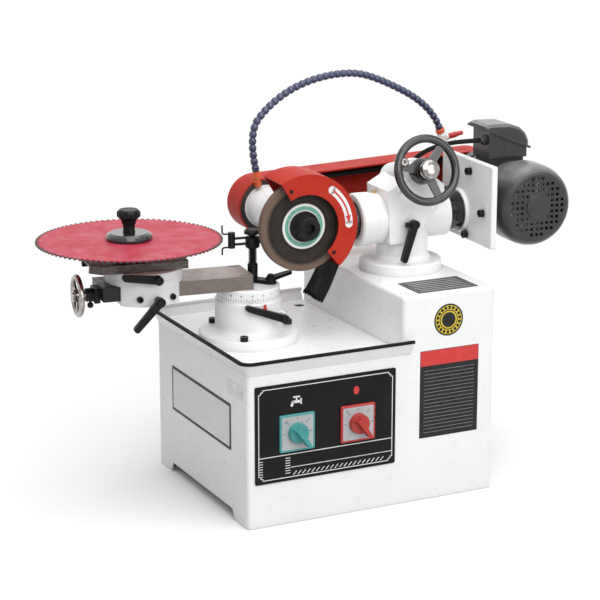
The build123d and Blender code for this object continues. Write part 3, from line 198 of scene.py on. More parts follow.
def finish(name, **given):
    look = dict(plainLook, **given)
    mat, tree, bsdf, place = newFinish(name)
    soft, edge = roundedEdge(tree, look["edge"])
    colour = tint(mottle(place, look["cloud"], *noises["cloud"]), look["colour"], look["shade"])
    if "streak" in look:  # brushed or ground lines along one direction
        lines = grain(place, look["lineSize"], fineDetail, look["streak"])
        colour = tint(spread(lines, *masks["line"]), colour, look["lineColour"])
    if "speck" in look:
        colour = tint(mottle(place, look["speckSize"], *noises["speck"]), colour, look["speck"])
    if "wear" in look:
        patchy = mottle(place, look["patch"], *noises["patch"])
        colour = tint(times(times(edge, patchy), look["worn"]), colour, look["wear"])
    # grime and painted shade: darkens corners and crevices found by ambient occlusion
    if "grime" in look:
        reach = {"Distance": look["grimeReach"] * mm}
        corner = addNode(tree, "ShaderNodeAmbientOcclusion", reach, samples=6).outputs["AO"]
        colour = tint(spread(corner, *masks["corner"], 0, look["grimeShare"]), colour, look["grime"])
    fill(bsdf, {"Base Color": colour, "Metallic": look["metal"], "Coat Weight": look["coat"],
                "Coat Roughness": look["coatRough"], "Specular IOR Level": look["specular"]})
    roughen(bsdf, place, look["smudge"], look["rough"])
    emboss(bsdf, place, look["peel"], look["bump"], soft, look.get("streak"))
    return mat


def fromAxis(place, centre, axis):  # distance from an axis, in millimetres
    across = vectorMath("CROSS_PRODUCT", vectorMath("SUBTRACT", place, centre), axis)
    return times(vectorMath("LENGTH", across), 1 / mm)


def along(place, way):  # place along a direction, in millimetres
    return vectorMath("DOT_PRODUCT", place, Vector(way) / mm)


def upward(tree, low, high):  # spread over how far a face looks up
    normal = addNode(tree, "ShaderNodeNewGeometry").outputs["Normal"]
    return spread(addNode(tree, "ShaderNodeSeparateXYZ", {0: normal}).outputs["Z"], low, high)


def overpaint(mat, share, colour):  # a second colour over part of a finish
    base = mat.node_tree.nodes["Principled BSDF"].inputs["Base Color"]
    feed(base, tint(share, base.links[0].from_socket, colour))
    return mat


# Finishes of the whole machine

# grime colours in these looks darken corners found by ambient occlusion: dirt and painted shade
castWhiteLook = dict(
    colour=(0.835, 0.845, 0.85), shade=(0.8, 0.81, 0.81), wear=(0.42, 0.4, 0.38), worn=0.4, edge=1.4,
    cloud=30, grime=(0.42, 0.4, 0.37), grimeShare=0.5, rough=(0.28, 0.45), coat=0.2, coatRough=0.2,
    peel=(3.5, 0.16))
motorBlackLook = dict(
    colour=(0.03, 0.0305, 0.032), shade=(0.02, 0.02, 0.0215), wear=(0.14, 0.14, 0.145), worn=0.55, edge=1.2,
    cloud=25, rough=(0.38, 0.55), specular=0.2, coat=0.6, coatRough=0.22, peel=(1.6, 0.12), bump=0.7)
blackOxideLook = dict(
    colour=(0.009, 0.009, 0.0095), shade=(0.017, 0.0165, 0.0165), wear=(0.16, 0.155, 0.15), worn=0.6,
    edge=0.7, cloud=9, rough=(0.28, 0.44), metal=0.4, specular=0.25, peel=(0.9, 0.05))
rubberLook = dict(
    colour=(0.01, 0.01, 0.01), shade=(0.016, 0.0155, 0.0155), wear=(0.05, 0.05, 0.05), cloud=14,
    rough=(0.5, 0.7), specular=0.08, peel=(0.7, 0.08))
printLook = dict(worn=0.4, edge=0.2, peel=(0.6, 0.015))  # what all printed colours share
castWhite = finish("castWhite", **castWhiteLook)
motorBlack = finish("motorBlack", **motorBlackLook)
blackOxide = finish("blackOxide", **blackOxideLook)
hubBlack = finish("hubBlack", **dict(blackOxideLook, metal=0.1, specular=0.12))
rubber = finish("rubber", **rubberLook)
whiteEnamel = finish(
    "whiteEnamel", colour=(0.84, 0.85, 0.853), shade=(0.81, 0.82, 0.82), wear=(0.45, 0.43, 0.4), worn=0.25,
    edge=1.2, cloud=60, grime=(0.5, 0.48, 0.45), grimeShare=0.35, rough=(0.26, 0.38), coat=0.25,
    coatRough=0.15, peel=(2.2, 0.05))
guardRed = finish(
    "guardRed", colour=(0.46, 0.038, 0.024), shade=(0.42, 0.031, 0.02), wear=(0.3, 0.1, 0.08), edge=0.9,
    cloud=40, grime=(0.16, 0.012, 0.01), grimeShare=0.45, rough=(0.32, 0.46), specular=0.04,
    peel=(2, 0.06))
blackPlastic = finish(
    "blackPlastic", colour=(0.007, 0.007, 0.0075), shade=(0.012, 0.012, 0.0125), wear=(0.07, 0.07, 0.07),
    worn=0.6, edge=1, rough=(0.26, 0.4), specular=0.16, peel=(0.8, 0.05))
wheelPlastic = finish(
    "wheelPlastic", colour=(0.008, 0.008, 0.0085), shade=(0.013, 0.013, 0.0135), wear=(0.1, 0.1, 0.1),
    worn=0.6, edge=1, rough=(0.14, 0.24), coat=0.4, coatRough=0.08, peel=(0.8, 0.04))
bluedSteel = finish(
    "bluedSteel", colour=(0.012, 0.012, 0.014), shade=(0.018, 0.018, 0.022), wear=(0.14, 0.14, 0.15),
    edge=0.6, rough=(0.2, 0.32), metal=0.3, coat=1, coatRough=0.06, specular=0.2, peel=(1.4, 0.02))
panelBlack = finish(
    "panelBlack", colour=(0.006, 0.006, 0.006), shade=(0.009, 0.009, 0.009), wear=(0.1, 0.1, 0.1), worn=0.4,
    edge=0.5, cloud=60, rough=(0.36, 0.46), specular=0.12, peel=(0.5, 0.03))
slideSteel = finish(
    "slideSteel", colour=(0.085, 0.072, 0.066), shade=(0.05, 0.042, 0.038), lineColour=(0.125, 0.11, 0.1),
    streak=(0.05, 1, 1), lineSize=1.5, wear=(0.5, 0.48, 0.46), worn=0.7, edge=0.9, cloud=24,
    rough=(0.32, 0.5), metal=0.8, peel=(1.1, 0.06))
sleeveSteel = finish(
    "sleeveSteel", colour=(0.05, 0.047, 0.045), shade=(0.03, 0.028, 0.027), lineColour=(0.09, 0.088, 0.085),
    streak=(1, 0.06, 0.06), lineSize=1.2, wear=(0.4, 0.4, 0.4), worn=0.6, cloud=40, rough=(0.14, 0.24),
    metal=0.95, peel=(1, 0.03))
# the chrome's darker shade cloud is a painted reflection of dark surroundings
chrome = finish(
    "chrome", colour=(0.43, 0.405, 0.385), shade=(0.27, 0.252, 0.24), wear=(0.25, 0.24, 0.23), worn=0.3,
    edge=0.5, cloud=9, rough=(0.08, 0.2), metal=1, peel=(2.5, 0.03))
steel = finish(
    "steel", colour=(0.5, 0.49, 0.48), shade=(0.4, 0.39, 0.38), wear=(0.65, 0.64, 0.63), edge=0.6, cloud=16,
    rough=(0.24, 0.38), metal=1)
aluminium = finish(
    "aluminium", colour=(0.56, 0.56, 0.57), shade=(0.47, 0.47, 0.48), wear=(0.7, 0.7, 0.7), edge=0.7,
    cloud=16, rough=(0.34, 0.5), metal=0.95, peel=(1.2, 0.05))
zinc = finish(
    "zinc", colour=(0.46, 0.47, 0.48), shade=(0.36, 0.37, 0.385), wear=(0.58, 0.58, 0.58), worn=0.4,
    cloud=22, rough=(0.36, 0.52), metal=0.85, peel=(3, 0.05))
tealPlastic = finish(
    "tealPlastic", colour=(0.05, 0.3, 0.3), shade=(0.042, 0.26, 0.26), wear=(0.2, 0.48, 0.46), worn=0.4,
    cloud=14, rough=(0.28, 0.4))
redPlastic = finish(
    "redPlastic", colour=(0.44, 0.024, 0.018), shade=(0.39, 0.019, 0.014), wear=(0.7, 0.18, 0.15), worn=0.4,
    cloud=14, rough=(0.26, 0.38))
orangePlastic = finish(
    "orangePlastic", colour=(0.72, 0.13, 0.035), shade=(0.63, 0.1, 0.028), wear=(0.8, 0.3, 0.18), worn=0.4,
    edge=0.6, cloud=10, rough=(0.3, 0.42))
whitePlastic = finish(
    "whitePlastic", colour=(0.78, 0.77, 0.74), shade=(0.72, 0.71, 0.68), wear=(0.6, 0.59, 0.56), worn=0.3,
    edge=0.7, grime=(0.4, 0.38, 0.34), grimeShare=0.4, rough=(0.32, 0.45), peel=(0.9, 0.03))
hoseNavy = finish(
    "hoseNavy", colour=(0.022, 0.03, 0.095), shade=(0.016, 0.022, 0.07), wear=(0.1, 0.13, 0.24), worn=0.4,
    edge=0.6, cloud=10, grime=(0.006, 0.008, 0.02), grimeReach=4, grimeShare=0.6, rough=(0.2, 0.32),
    coat=0.5, peel=(0.9, 0.03))
faceSilver = finish(
    "faceSilver", colour=(0.42, 0.43, 0.44), shade=(0.37, 0.38, 0.39), wear=(0.5, 0.5, 0.5), worn=0.3,
    edge=0.3, cloud=14, rough=(0.36, 0.48), metal=0.15, peel=(0.5, 0.02))
signWhite = finish(
    "signWhite", **printLook, colour=(0.8, 0.8, 0.79), shade=(0.75, 0.75, 0.74), wear=(0.5, 0.5, 0.49),
    rough=(0.4, 0.52))
signBlack = finish(
    "signBlack", **printLook, colour=(0.014, 0.014, 0.015), shade=(0.02, 0.02, 0.021), wear=(0.2, 0.2, 0.2),
    rough=(0.36, 0.48), specular=0.2)
signYellow = finish(
    "signYellow", **printLook, colour=(0.66, 0.49, 0.028), shade=(0.6, 0.44, 0.024), wear=(0.5, 0.42, 0.2),
    rough=(0.36, 0.5))
signRed = finish(
    "signRed", **printLook, colour=(0.6, 0.035, 0.03), shade=(0.54, 0.028, 0.024), wear=(0.6, 0.25, 0.22),
    rough=(0.36, 0.5))
labelGreen = finish(
    "labelGreen", colour=(0.1, 0.36, 0.26), shade=(0.16, 0.42, 0.32), speck=(0.45, 0.62, 0.54),
    speckSize=3, edge=0.2, cloud=7, rough=(0.45, 0.6), peel=(0.5, 0.02))
carbide = finish(
    "carbide", colour=(0.16, 0.14, 0.13), shade=(0.1, 0.085, 0.08), wear=(0.35, 0.32, 0.28), edge=0.3,
    cloud=4, rough=(0.3, 0.45), metal=0.8, peel=(0.6, 0.03))
brass = finish(
    "brass", colour=(0.6, 0.43, 0.16), shade=(0.48, 0.34, 0.13), wear=(0.72, 0.58, 0.3), edge=0.4, cloud=6,
    rough=(0.26, 0.4), metal=1, peel=(0.7, 0.03))

bladeLook = dict(  # each noise is a size, a detail and a mask
    paint=(0.41, 0.021, 0.042), dusty=(0.45, 0.056, 0.095), deep=(0.37, 0.013, 0.022),
    bare=(0.085, 0.07, 0.066), clouds=(55, 6, (0.38, 0.66)), patches=(24, 6, (0.52, 0.72)),
    wander=(4, 5, (0, 1, -4.5, 4.5)), paintEdge=145.5, bareFrom=148.5, edge=0.3, worn=0.5, metal=0.7,
    specular=0.3, smudge=(20, 5), rough=(0.36, 0.55), peel=(1.4, 0.05), bump=0.4)


def bladePaint(look):  # sprayed red steel, dusty in clouds, bare on the teeth
    mat, tree, bsdf, place = newFinish("bladePaint")
    soft, edge = roundedEdge(tree, look["edge"])
    colour = tint(mottle(place, *look["clouds"]), look["paint"], look["dusty"])
    colour = tint(mottle(place, *look["patches"]), colour, look["deep"])
    reach = fromAxis(place, jointPlace["blade_turn"], up)
    ragged = times(reach, mottle(place, *look["wander"]), "ADD")  # the paint's edge wanders
    rim = spread(ragged, look["paintEdge"], look["bareFrom"])
    colour = tint(rim, colour, look["bare"])
    colour = tint(times(edge, look["worn"]), colour, look["bare"])
    fill(bsdf, {"Base Color": colour, "Metallic": times(rim, look["metal"]),
                "Specular IOR Level": look["specular"]})
    roughen(bsdf, place, look["smudge"], look["rough"])
    emboss(bsdf, place, look["peel"], look["bump"], soft)
    return mat


abrasiveLook = dict(
    rim=(0.155, 0.105, 0.08), face=(0.013, 0.0105, 0.009), facePale=(0.027, 0.022, 0.019),
    grit=(0.1, 0.078, 0.066), worn=(18, 6, (0.35, 0.65)), ringScale=0.55, ringDetail=4,
    rings=(0.45, 0.75, 0, 0.5), rimFrom=61, rimTo=67, grains=(0.9, 2, (0.6, 0.72, 0, 0.6)), specular=0.15,
    smudge=(6, 4), rough=(0.55, 0.8), peel=(0.9, 0.25), bump=0.8)


def abrasive(look):  # resin-bonded grit: dark worn face, brown rim
    mat, tree, bsdf, place = newFinish("abrasive")
    reach = fromAxis(place, spindleAt, headBack)
    colour = tint(mottle(place, *look["worn"]), look["face"], look["facePale"])
    inputs = {"W": reach, "Scale": look["ringScale"], "Detail": look["ringDetail"]}
    rings = addNode(tree, "ShaderNodeTexNoise", inputs, noise_dimensions="1D").outputs["Fac"]
    colour = tint(spread(rings, *look["rings"]), colour, look["grit"])
    colour = tint(spread(reach, look["rimFrom"], look["rimTo"]), colour, look["rim"])
    colour = tint(mottle(place, *look["grains"]), colour, look["grit"])
    fill(bsdf, {"Base Color": colour, "Specular IOR Level": look["specular"]})
    roughen(bsdf, place, look["smudge"], look["rough"])
    emboss(bsdf, place, look["peel"], look["bump"])
    return mat


# side colours the faces that don't look up: dull unground sides and painted shade
barLook = dict(
    colour=(0.4, 0.352, 0.325), shade=(0.3, 0.26, 0.238), lineColour=(0.47, 0.43, 0.405),
    streak=(0.05, 1, 1), lineSize=1.6, wear=(0.62, 0.6, 0.58), worn=0.7, cloud=28, rough=(0.3, 0.48),
    metal=0.6, peel=(1.2, 0.05), side=(0.1, 0.08, 0.069), sideShadeLean=(0.7, 0.3), sideShadeShare=0.75,
    black=(0.02, 0.019, 0.018), blackFrom=-190, blackTo=-200)


def groundBar(look):  # way with a ground top and dull sides, the sides darkened further as painted shade by how far each face looks up, blacked at its left end
    mat = finish("groundBar", **look)
    overpaint(mat, times(upward(mat.node_tree, *look["sideShadeLean"]), look["sideShadeShare"]), look["side"])
    start = jointPlace["table_swivel"].dot(tableAlong) / mm
    run = along(objectPlace(mat.node_tree), tableAlong)
    return overpaint(mat, spread(run, start + look["blackFrom"], start + look["blackTo"]), look["black"])


# dust lightens the faces that look up: settled dust and a painted sheen
motorLook = dict(
    motorBlackLook, dustAndSheen=(0.2, 0.2, 0.205), dustAndSheenLean=(0.45, 0.95), dustAndSheenPatch=(14, 5, (0.3, 0.7, 0.55, 1)))


def motorPaint(look):  # black enamel, lighter on what looks up: settled dust and a painted sheen
    mat = finish("motorPaint", **look)
    patchy = mottle(objectPlace(mat.node_tree), *look["dustAndSheenPatch"])
    return overpaint(mat, times(upward(mat.node_tree, *look["dustAndSheenLean"]), patchy), look["dustAndSheen"])


# black here is painted shadow: beyond whiteTo the flange darkens as the shaded gap inside the belt guard
housingLook = dict(castWhiteLook, black=(0.022, 0.014, 0.012), whiteTo=36.5, blackFrom=37.5)


def housingPaintAndShadow(look):  # white barrel; the flange around it is painted dark brown as a painted shadow inside the belt guard
    mat = finish("housingPaintAndShadow", **look)
    reach = fromAxis(objectPlace(mat.node_tree), spindleAt, headBack)
    return overpaint(mat, spread(reach, look["whiteTo"], look["blackFrom"]), look["black"])


edgingLook = dict(rubberLook, pale=(0.74, 0.74, 0.735), paleFrom=187, paleTo=189)


def edgingRubber(look):  # black strip, pale along the back
    mat = finish("edgingRubber", **look)
    depth = along(objectPlace(mat.node_tree), (0, 1, 0))
    return overpaint(mat, spread(depth, look["paleFrom"], look["paleTo"]), look["pale"])


finishOfNode = {
    whiteEnamel: "cabinet_shell coolant_tray",
    castWhite: "pedestal column_flange head_casting swivel_ring swivel_drum carriage motor_plate",
    housingPaintAndShadow(housingLook): "spindle_housing",
    edgingRubber(edgingLook): "tray_edging",
    rubber: "drive_belt",
    panelBlack: "switch_panel",
    tealPlastic: "coolant_switch coolant_knob",
    redPlastic: "motor_switch motor_knob valve_lever",
    zinc: "coolant_tank",
    motorBlack: "coolant_pump",
    motorPaint(motorLook): "motor_housing fan_cowl terminal_box",
    blackOxide: "pedestal_bolts motor_plate_bolts screw_bracket index_base index_post index_arm",
    hubBlack: "wheel_flange spindle",
    bluedSteel: "blade_flange",
    blackPlastic: "pedestal_lever carriage_lever drum_lever sleeve_lever index_lever blade_knob",
    wheelPlastic: "traverse_handwheel",
    groundBar(barLook): "guide_bar",
    slideSteel: "top_slide blade_arbor",
    steel: "feed_screw spindle_bearings traverse_pinion",
    chrome: "feed_handwheel",
    bladePaint(bladeLook): "saw_blade",
    sleeveSteel: "sleeve",
    aluminium: "motor_rotor motor_pulley spindle_pulley",
    abrasive(abrasiveLook): "grinding_wheel",
    guardRed: "wheel_guard belt_guard",
    whitePlastic: "coolant_valve",
    orangePlastic: "coolant_nozzle",
}
for mat, names in finishOfNode.items():
    for name in names.split():
        cadNodes[name].data.materials.clear()
        cadNodes[name].data.materials.append(mat)
print("finishes set on", sum(len(names.split()) for names in finishOfNode.values()), "nodes")


# Mesh helpers

def meshFrom(name, bm):
    mesh = bpy.data.meshes.new(name)
    bm.to_mesh(mesh)
    bm.free()
    return mesh


def meshOf(data):  # the mesh that a curve or a text makes
    holder = bpy.data.objects.new(data.name, data)
    mesh = bpy.data.meshes.new_from_object(holder)
    bpy.data.objects.remove(holder)
    return mesh


def addPiece(name, shape, mats, body, smooth=35):  # the shape is a mesh or a bmesh
    mesh = shape if isinstance(shape, bpy.types.Mesh) else meshFrom(name, shape)
    bm = bmesh.new()
    bm.from_mesh(mesh)
    bmesh.ops.remove_doubles(bm, verts=bm.verts, dist=weld)
    bmesh.ops.recalc_face_normals(bm, faces=bm.faces)
    bm.to_mesh(mesh)
    bm.free()
    piece = bpy.data.objects.new(name, mesh)
    scene.collection.objects.link(piece)
    for mat in mats:
        mesh.materials.append(mat)
    mesh.shade_smooth()
    mesh.set_sharp_from_angle(angle=math.radians(smooth))
    if body is not None:
        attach(piece, body)
    return piece


def skin(bm, here, there, matIndex):  # faces between two rings of corners
    for k in range(len(here)):
        nxt = (k + 1) % len(here)
        bm.faces.new([here[k], there[k], there[nxt], here[nxt]]).material_index = matIndex


def lathe(bm, seat, outline, steps, matIndex=0):  # outline is (radius, height) in mm, along local Z
    rings = []
    for step in range(steps):
        rings.append([bm.verts.new(at(seat, *polar(r, 360 * step / steps), h)) for r, h in outline])
    for here, there in zip(rings, rings[1:] + rings[:1]):
        skin(bm, here, there, matIndex)


def turned(name, seat, outline, steps, mat, body):  # a piece that is one turned solid
    bm = bmesh.new()
    lathe(bm, seat, outline, steps)
    addPiece(name, bm, [mat], body)


def plate(bm, seat, outline, low, high, matIndex=0):  # flat outline in mm, from height low to high
    bottom, top = [[bm.verts.new(at(seat, x, y, z)) for x, y in outline] for z in (low, high)]
    for corners in (top, bottom[::-1]):
        bm.faces.new(corners).material_index = matIndex
    skin(bm, bottom, top, matIndex)


def roundedRect(cx, cy, width, height, radius, steps=5):
    points = []
    for sx, sy, start in ((1, 1, 0), (-1, 1, 90), (-1, -1, 180), (1, -1, 270)):
        for k in range(steps + 1):
            x, y = polar(radius, start + 90 * k / steps)
            points.append((cx + sx * (width / 2 - radius) + x, cy + sy * (height / 2 - radius) + y))
    return points


def disc(cx, cy, radius, steps, squeeze=1):
    points = [polar(radius, 360 * k / steps) for k in range(steps)]
    return [(cx + x * squeeze, cy + y) for x, y in points]


def bar(x0, y0, x1, y1, width):  # a straight line of some width, as an outline
    run = Vector((x1 - x0, y1 - y0))
    side = Vector((-run.y, run.x)).normalized() * width / 2
    return [(x0 - side.x, y0 - side.y), (x1 - side.x, y1 - side.y),
            (x1 + side.x, y1 + side.y), (x0 + side.x, y0 + side.y)]


def ringBand(bm, seat, inner, outer, start, end, low, high, steps, matIndex):  # part of a flat ring
    grid = []
    for k in range(steps + 1):
        c, s = polar(mm, start + (end - start) * k / steps)
        grid.append([bm.verts.new(seat @ Vector((r * c, r * s, h * mm)))
                     for r, h in ((inner, low), (outer, low), (outer, high), (inner, high))])
    for here, there in zip(grid, grid[1:]):
        skin(bm, here, there, matIndex)
    for corners in (grid[0], grid[-1][::-1]):
        bm.faces.new(corners).material_index = matIndex


def figure(text, size):  # the flat triangles of a plain number, as lists of (x, y) in mm, centred
    curve = bpy.data.curves.new("figure", "FONT")
    curve.body = text
    curve.size = size
    curve.resolution_u = 3
    curve.align_x = "CENTER"
    curve.align_y = "CENTER"
    flat = meshOf(curve)
    faces = [[tuple(flat.vertices[v].co.xy) for v in p.vertices] for p in flat.polygons]
    bpy.data.curves.remove(curve)
    bpy.data.meshes.remove(flat)
    return faces


def screwHead(bm, seat, radius, height, bevel=0.15, hole=0.5, floor=0.45, sunk=0.4, tip=0.35, steps=24):
    outline = [(core, 0), (radius, 0), (radius, height - radius * bevel), (radius * (1 - bevel), height),
               (radius * hole, height), (radius * floor, height * sunk), (core, height * tip)]
    lathe(bm, seat, outline, steps)  # socket-head screw standing on the seat


# Cords: the ribbed coolant hose and the motor lead

def routeLine(name, points, steps=24):  # smooth line near given points
    curve = bpy.data.curves.new(name, "CURVE")
    curve.dimensions = "3D"
    spline = curve.splines.new("NURBS")
    spline.points.add(len(points) - 1)
    for knot, point in zip(spline.points, points):
        knot.co = (*point, 1)
    spline.order_u = 3
    spline.use_endpoint_u = True
    spline.resolution_u = steps
    return curve


def readLine(curve):
    mesh = meshOf(curve)
    points = [v.co.copy() for v in mesh.vertices]
    bpy.data.meshes.remove(mesh)
    return points


def tube(curve, radius, sides):  # round wire along a line, with sides in each quarter
    curve.bevel_depth = radius
    curve.bevel_resolution = sides
    curve.use_fill_caps = True
    mesh = meshOf(curve)
    mesh.materials.clear()
    return mesh


def lengthsAlong(points):
    runs = [0]
    for a, b in zip(points, points[1:]):
        runs.append(runs[-1] + (b - a).length)
    return runs


def pointAlong(points, runs, place):  # point and heading at a distance along the line
    for k in range(len(points) - 1):
        if runs[k + 1] >= place or k == len(points) - 2:
            share = (place - runs[k]) / max(runs[k + 1] - runs[k], weld)
            return points[k].lerp(points[k + 1], share), (points[k + 1] - points[k]).normalized()


hoseLook = dict(
    start=(-228, 88), end=(146, 126.8),  # in the head's frame, millimetres
    route=[(0.0055, 0.517), (-0.0095, 0.583), (0.031, 0.629), (0.0935, 0.661), (0.1715, 0.6725),
           (0.234, 0.662), (0.355, 0.599), (0.371, 0.556)],  # run and height, metres
    diameter=0.013, length=0.513, segments=44, sides=24, collar=(8.2, 5.6), bevel=1, sunk=2, nutSides=32,
    beads=[(0, 4.6), (0.10, 4.7), (0.16, 5.6), (0.24, 6.2), (0.36, 6.5), (0.56, 6.5), (0.72, 6.35),
           (0.86, 5.9), (0.92, 5.2), (1, 4.6)])


def buildHose():
    start, end = onHead(*hoseLook["start"], 0), onHead(*hoseLook["end"], 0)
    run = (end - start).normalized()
    side = run.cross(up)
    line = readLine(routeLine("hoseLine", [start + run * s + up * z for s, z in hoseLook["route"]]))
    runs = lengthsAlong(line)
    pitch = runs[-1] / hoseLook["segments"]
    turns = [polar(1, 360 * k / hoseLook["sides"]) for k in range(hoseLook["sides"])]
    bm = bmesh.new()
    rings = []
    for segment in range(hoseLook["segments"]):
        for share, radius in hoseLook["beads"][1 if segment else 0:]:
            centre, heading = pointAlong(line, runs, min(pitch * (segment + share), runs[-1]))
            over = side.cross(heading)
            around = [side * across + over * rise for across, rise in turns]
            rings.append([bm.verts.new(centre + way * radius * mm) for way in around])
    for here, there in zip(rings, rings[1:]):
        skin(bm, here, there, 0)
    bm.faces.new(rings[0][::-1])
    bm.faces.new(rings[-1])
    hose = addPiece("coolantHose", bm, [hoseNavy], "wheelhead", smooth=50)
    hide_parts("coolant_hose")
    print("coolant hose", round(runs[-1], 4), "m")

    radius, width = hoseLook["collar"]  # orange nut where the hose enters the valve
    bore, bevel, foot = hoseLook["beads"][0][1], hoseLook["bevel"], -hoseLook["sunk"]
    seat = facing(line[-1], side, (line[-1] - line[-2]).normalized().cross(side))
    outline = [(bore, foot), (radius - bevel, foot), (radius, foot + bevel), (radius, width - bevel),
               (radius - bevel, width), (bore, width)]
    turned("hoseNut", seat, outline, hoseLook["nutSides"], orangePlastic, "wheelhead")


leadLook = dict(
    route=[(141, -20, 562), (121, -20, 562), (95, -6, 559), (71, 24, 546), (52, 50, 524), (40, 58, 500),
           (40, 58, 479)],  # in the head's frame, millimetres
    diameter=0.008, length=0.176, sides=6)


def buildLead():
    points = [onHead(*spot) for spot in leadLook["route"]]
    curve = routeLine("motorLeadLine", points)
    line = readLine(curve)
    mesh = tube(curve, leadLook["diameter"] / 2, leadLook["sides"])
    lead = addPiece("motorLead", mesh, [rubber], None, smooth=60)
    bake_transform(lead)
    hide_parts("motor_lead")
    print("motor lead", round(lengthsAlong(line)[-1], 4), "m")


buildHose()
buildLead()


# Spring under the index collar

springLook = dict(post=(13, 15), foot=384, crown=410, radius=6.2, wire=0.9, turns=7, steps=20, sides=3)


def buildSpring(post, foot, crown, radius, wire, turns, steps, sides):
    rise = crown - foot - 2 * wire
    points = []
    for k in range(turns * steps + 1):
        x, y = polar(radius, 360 * k / steps)
        points.append(onTable(post[0] + x, post[1] + y, foot + wire + rise * (k / (turns * steps))))
    mesh = tube(routeLine("indexSpring", points, steps=12), wire * mm, sides)
    spring = addPiece("indexSpring", mesh, [blackOxide], "table", smooth=60)
    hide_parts("index_spring")
    print("index spring wound")


buildSpring(**springLook)


# Rubber splash flap below the wheel guard, notched along its foot

flapLook = dict(
    reach=86.8, edge=-50, footX=25, footZ=326, front=-80.5, rear=-10.5, thickness=3, notches=8,
    notchDepth=8, notchColumns=4, rows=14, bow=2, wave=1.2, waveAcross=9, waveDown=2)


def buildFlap(reach, edge, footX, footZ, front, rear, thickness, notches, notchDepth, notchColumns,
              rows, bow, wave, waveAcross, waveDown):
    top = Vector(polar(1, edge)) * reach  # millimetres from the spindle
    foot = Vector((footX, footZ - spindleAt.z / mm))
    columns = notches * notchColumns
    half = notchColumns / 2
    bm = bmesh.new()
    near, far = [], []
    for grid, offset in ((near, -thickness / 2), (far, thickness / 2)):
        for row in range(rows + 1):
            share = row / rows
            middle = top.lerp(foot, share)
            bend = bow * math.sin(math.pi * share)
            grid.append([])
            for column in range(columns + 1):
                across = column / columns
                y = front + (rear - front) * across
                tooth = abs(column % notchColumns - half) / half
                lift = notchDepth * (1 - tooth) if row == rows else 0
                ripple = wave * math.sin(across * waveAcross + share * waveDown) * share
                spot = spindleAt + headAlong * (middle.x + offset + bend + ripple) * mm
                grid[-1].append(bm.verts.new(spot + headBack * y * mm + up * (middle.y + lift) * mm))
    for row in range(rows):
        for column in range(columns):
            for grid, way in ((near, 1), (far, -1)):
                corners = grid[row][column:column + 2] + grid[row + 1][column:column + 2][::-1]
                bm.faces.new(corners[::way])
    for row in range(rows):
        for column in (0, columns):
            bm.faces.new([near[row][column], near[row + 1][column], far[row + 1][column], far[row][column]])
    for column in range(columns):
        for row in (0, rows):
            bm.faces.new([near[row][column], near[row][column + 1], far[row][column + 1], far[row][column]])
    flap = addPiece("splashFlap", bm, [rubber], "wheelhead", smooth=40)
    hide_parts("splash_flap")
    print("splash flap set")


buildFlap(**flapLook)


# Front panel printing and the switch faces

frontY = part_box("cabinet_shell")[0].y
panelLow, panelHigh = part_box("switch_panel")
panelSeat = facing((0, panelLow.y, 0), (1, 0, 0), up)
panelLook = dict(
    inset=6, notch=7, line=1.3, ink=(0.02, 0.14), rules=(117.5, 95.5), ruleThin=0.8, boxRight=-160,
    ruleGap=10, hatchRows=7, hatchStep=4.2, hatchThin=0.9, edgeHatch=(1.5, 7), boxHatch=(0, 9), slantGap=14,
    slantStep=8.3, slant=(6, 2.5, 8.5))  # thin is a share of the line's width


def buildPanelLines(inset, notch, line, ink, rules, ruleThin, boxRight, ruleGap, hatchRows, hatchStep,
                    hatchThin, edgeHatch, boxHatch, slantGap, slantStep, slant):
    left, right = panelLow.x / mm + inset, panelHigh.x / mm - inset
    foot, head = panelLow.z / mm + inset, panelHigh.z / mm - inset
    bm = bmesh.new()

    def draw(x0, y0, x1, y1, share=1):
        plate(bm, panelSeat, bar(x0, y0, x1, y1, line * share), *ink)

    loop = []
    steps = ((0, 1), (0.5, 1), (0.5, 0.5), (1, 0.5), (1, 0))  # the corners step in, in notches
    corners = ((left, foot, 1, 1), (right, foot, -1, 1), (right, head, -1, -1), (left, head, 1, -1))
    for x, y, dx, dy in corners:
        corner = [(x + dx * notch * across, y + dy * notch * rise) for across, rise in steps]
        loop += corner[::dx * dy]
    for start, end in zip(loop, loop[1:] + loop[:1]):
        draw(*start, *end)
    high, low = rules
    draw(left, high, right, high)
    draw(boxRight + ruleGap, low, right, low, ruleThin)
    for row in range(hatchRows):
        y = foot + notch + hatchStep * row
        for x, (near, far) in ((left, edgeHatch), (boxRight, boxHatch)):
            draw(x + near, y, x + far, y, hatchThin)
    x = boxRight + slantGap
    reach, low, high = slant
    while x < right - 2 * notch:  # slanted stripes under the lower rule
        draw(x, foot + low, x + reach, foot + high)
        x += slantStep
    addPiece("panelLines", bm, [signWhite], "cabinet")


panelSignLook = dict(
    ink=(0.02, 0.16), tap=(-141, 205), dot=(-33, 208, 7, 32, 0.72),
    strokes=((-6, -1, 9, -1, 4.4), (-5, 0.5, -8, -8, 4.2), (9, -6, 9, 4, 2.6), (1, 0, 1, 7, 2.2),
             (-5, 7, 7, 7, 2.6)))  # the tap's pipe, spout, flange, stem and handle


def buildPanelSigns(ink, tap, dot, strokes):
    x, y = tap
    bm = bmesh.new()
    for x0, y0, x1, y1, thick in strokes:
        plate(bm, panelSeat, bar(x + x0, y + y0, x + x1, y + y1, thick), *ink)
    addPiece("tapSign", bm, [signWhite], "cabinet")
    bm = bmesh.new()
    plate(bm, panelSeat, disc(*dot), *ink)
    addPiece("dotSign", bm, [signRed], "cabinet")
    print("front panel printed")


switchLook = dict(
    face=55, corner=2.5, depth=(-0.3, 0.16), turns=(0, 45, 90, 135, 180), tickFrom=22, tickTo=25.5,
    tick=1.1, ink=(0.11, 0.22), figures=(("0", -20, 20), ("1", 20, 20)), figureSize=7, figureLift=0.21)


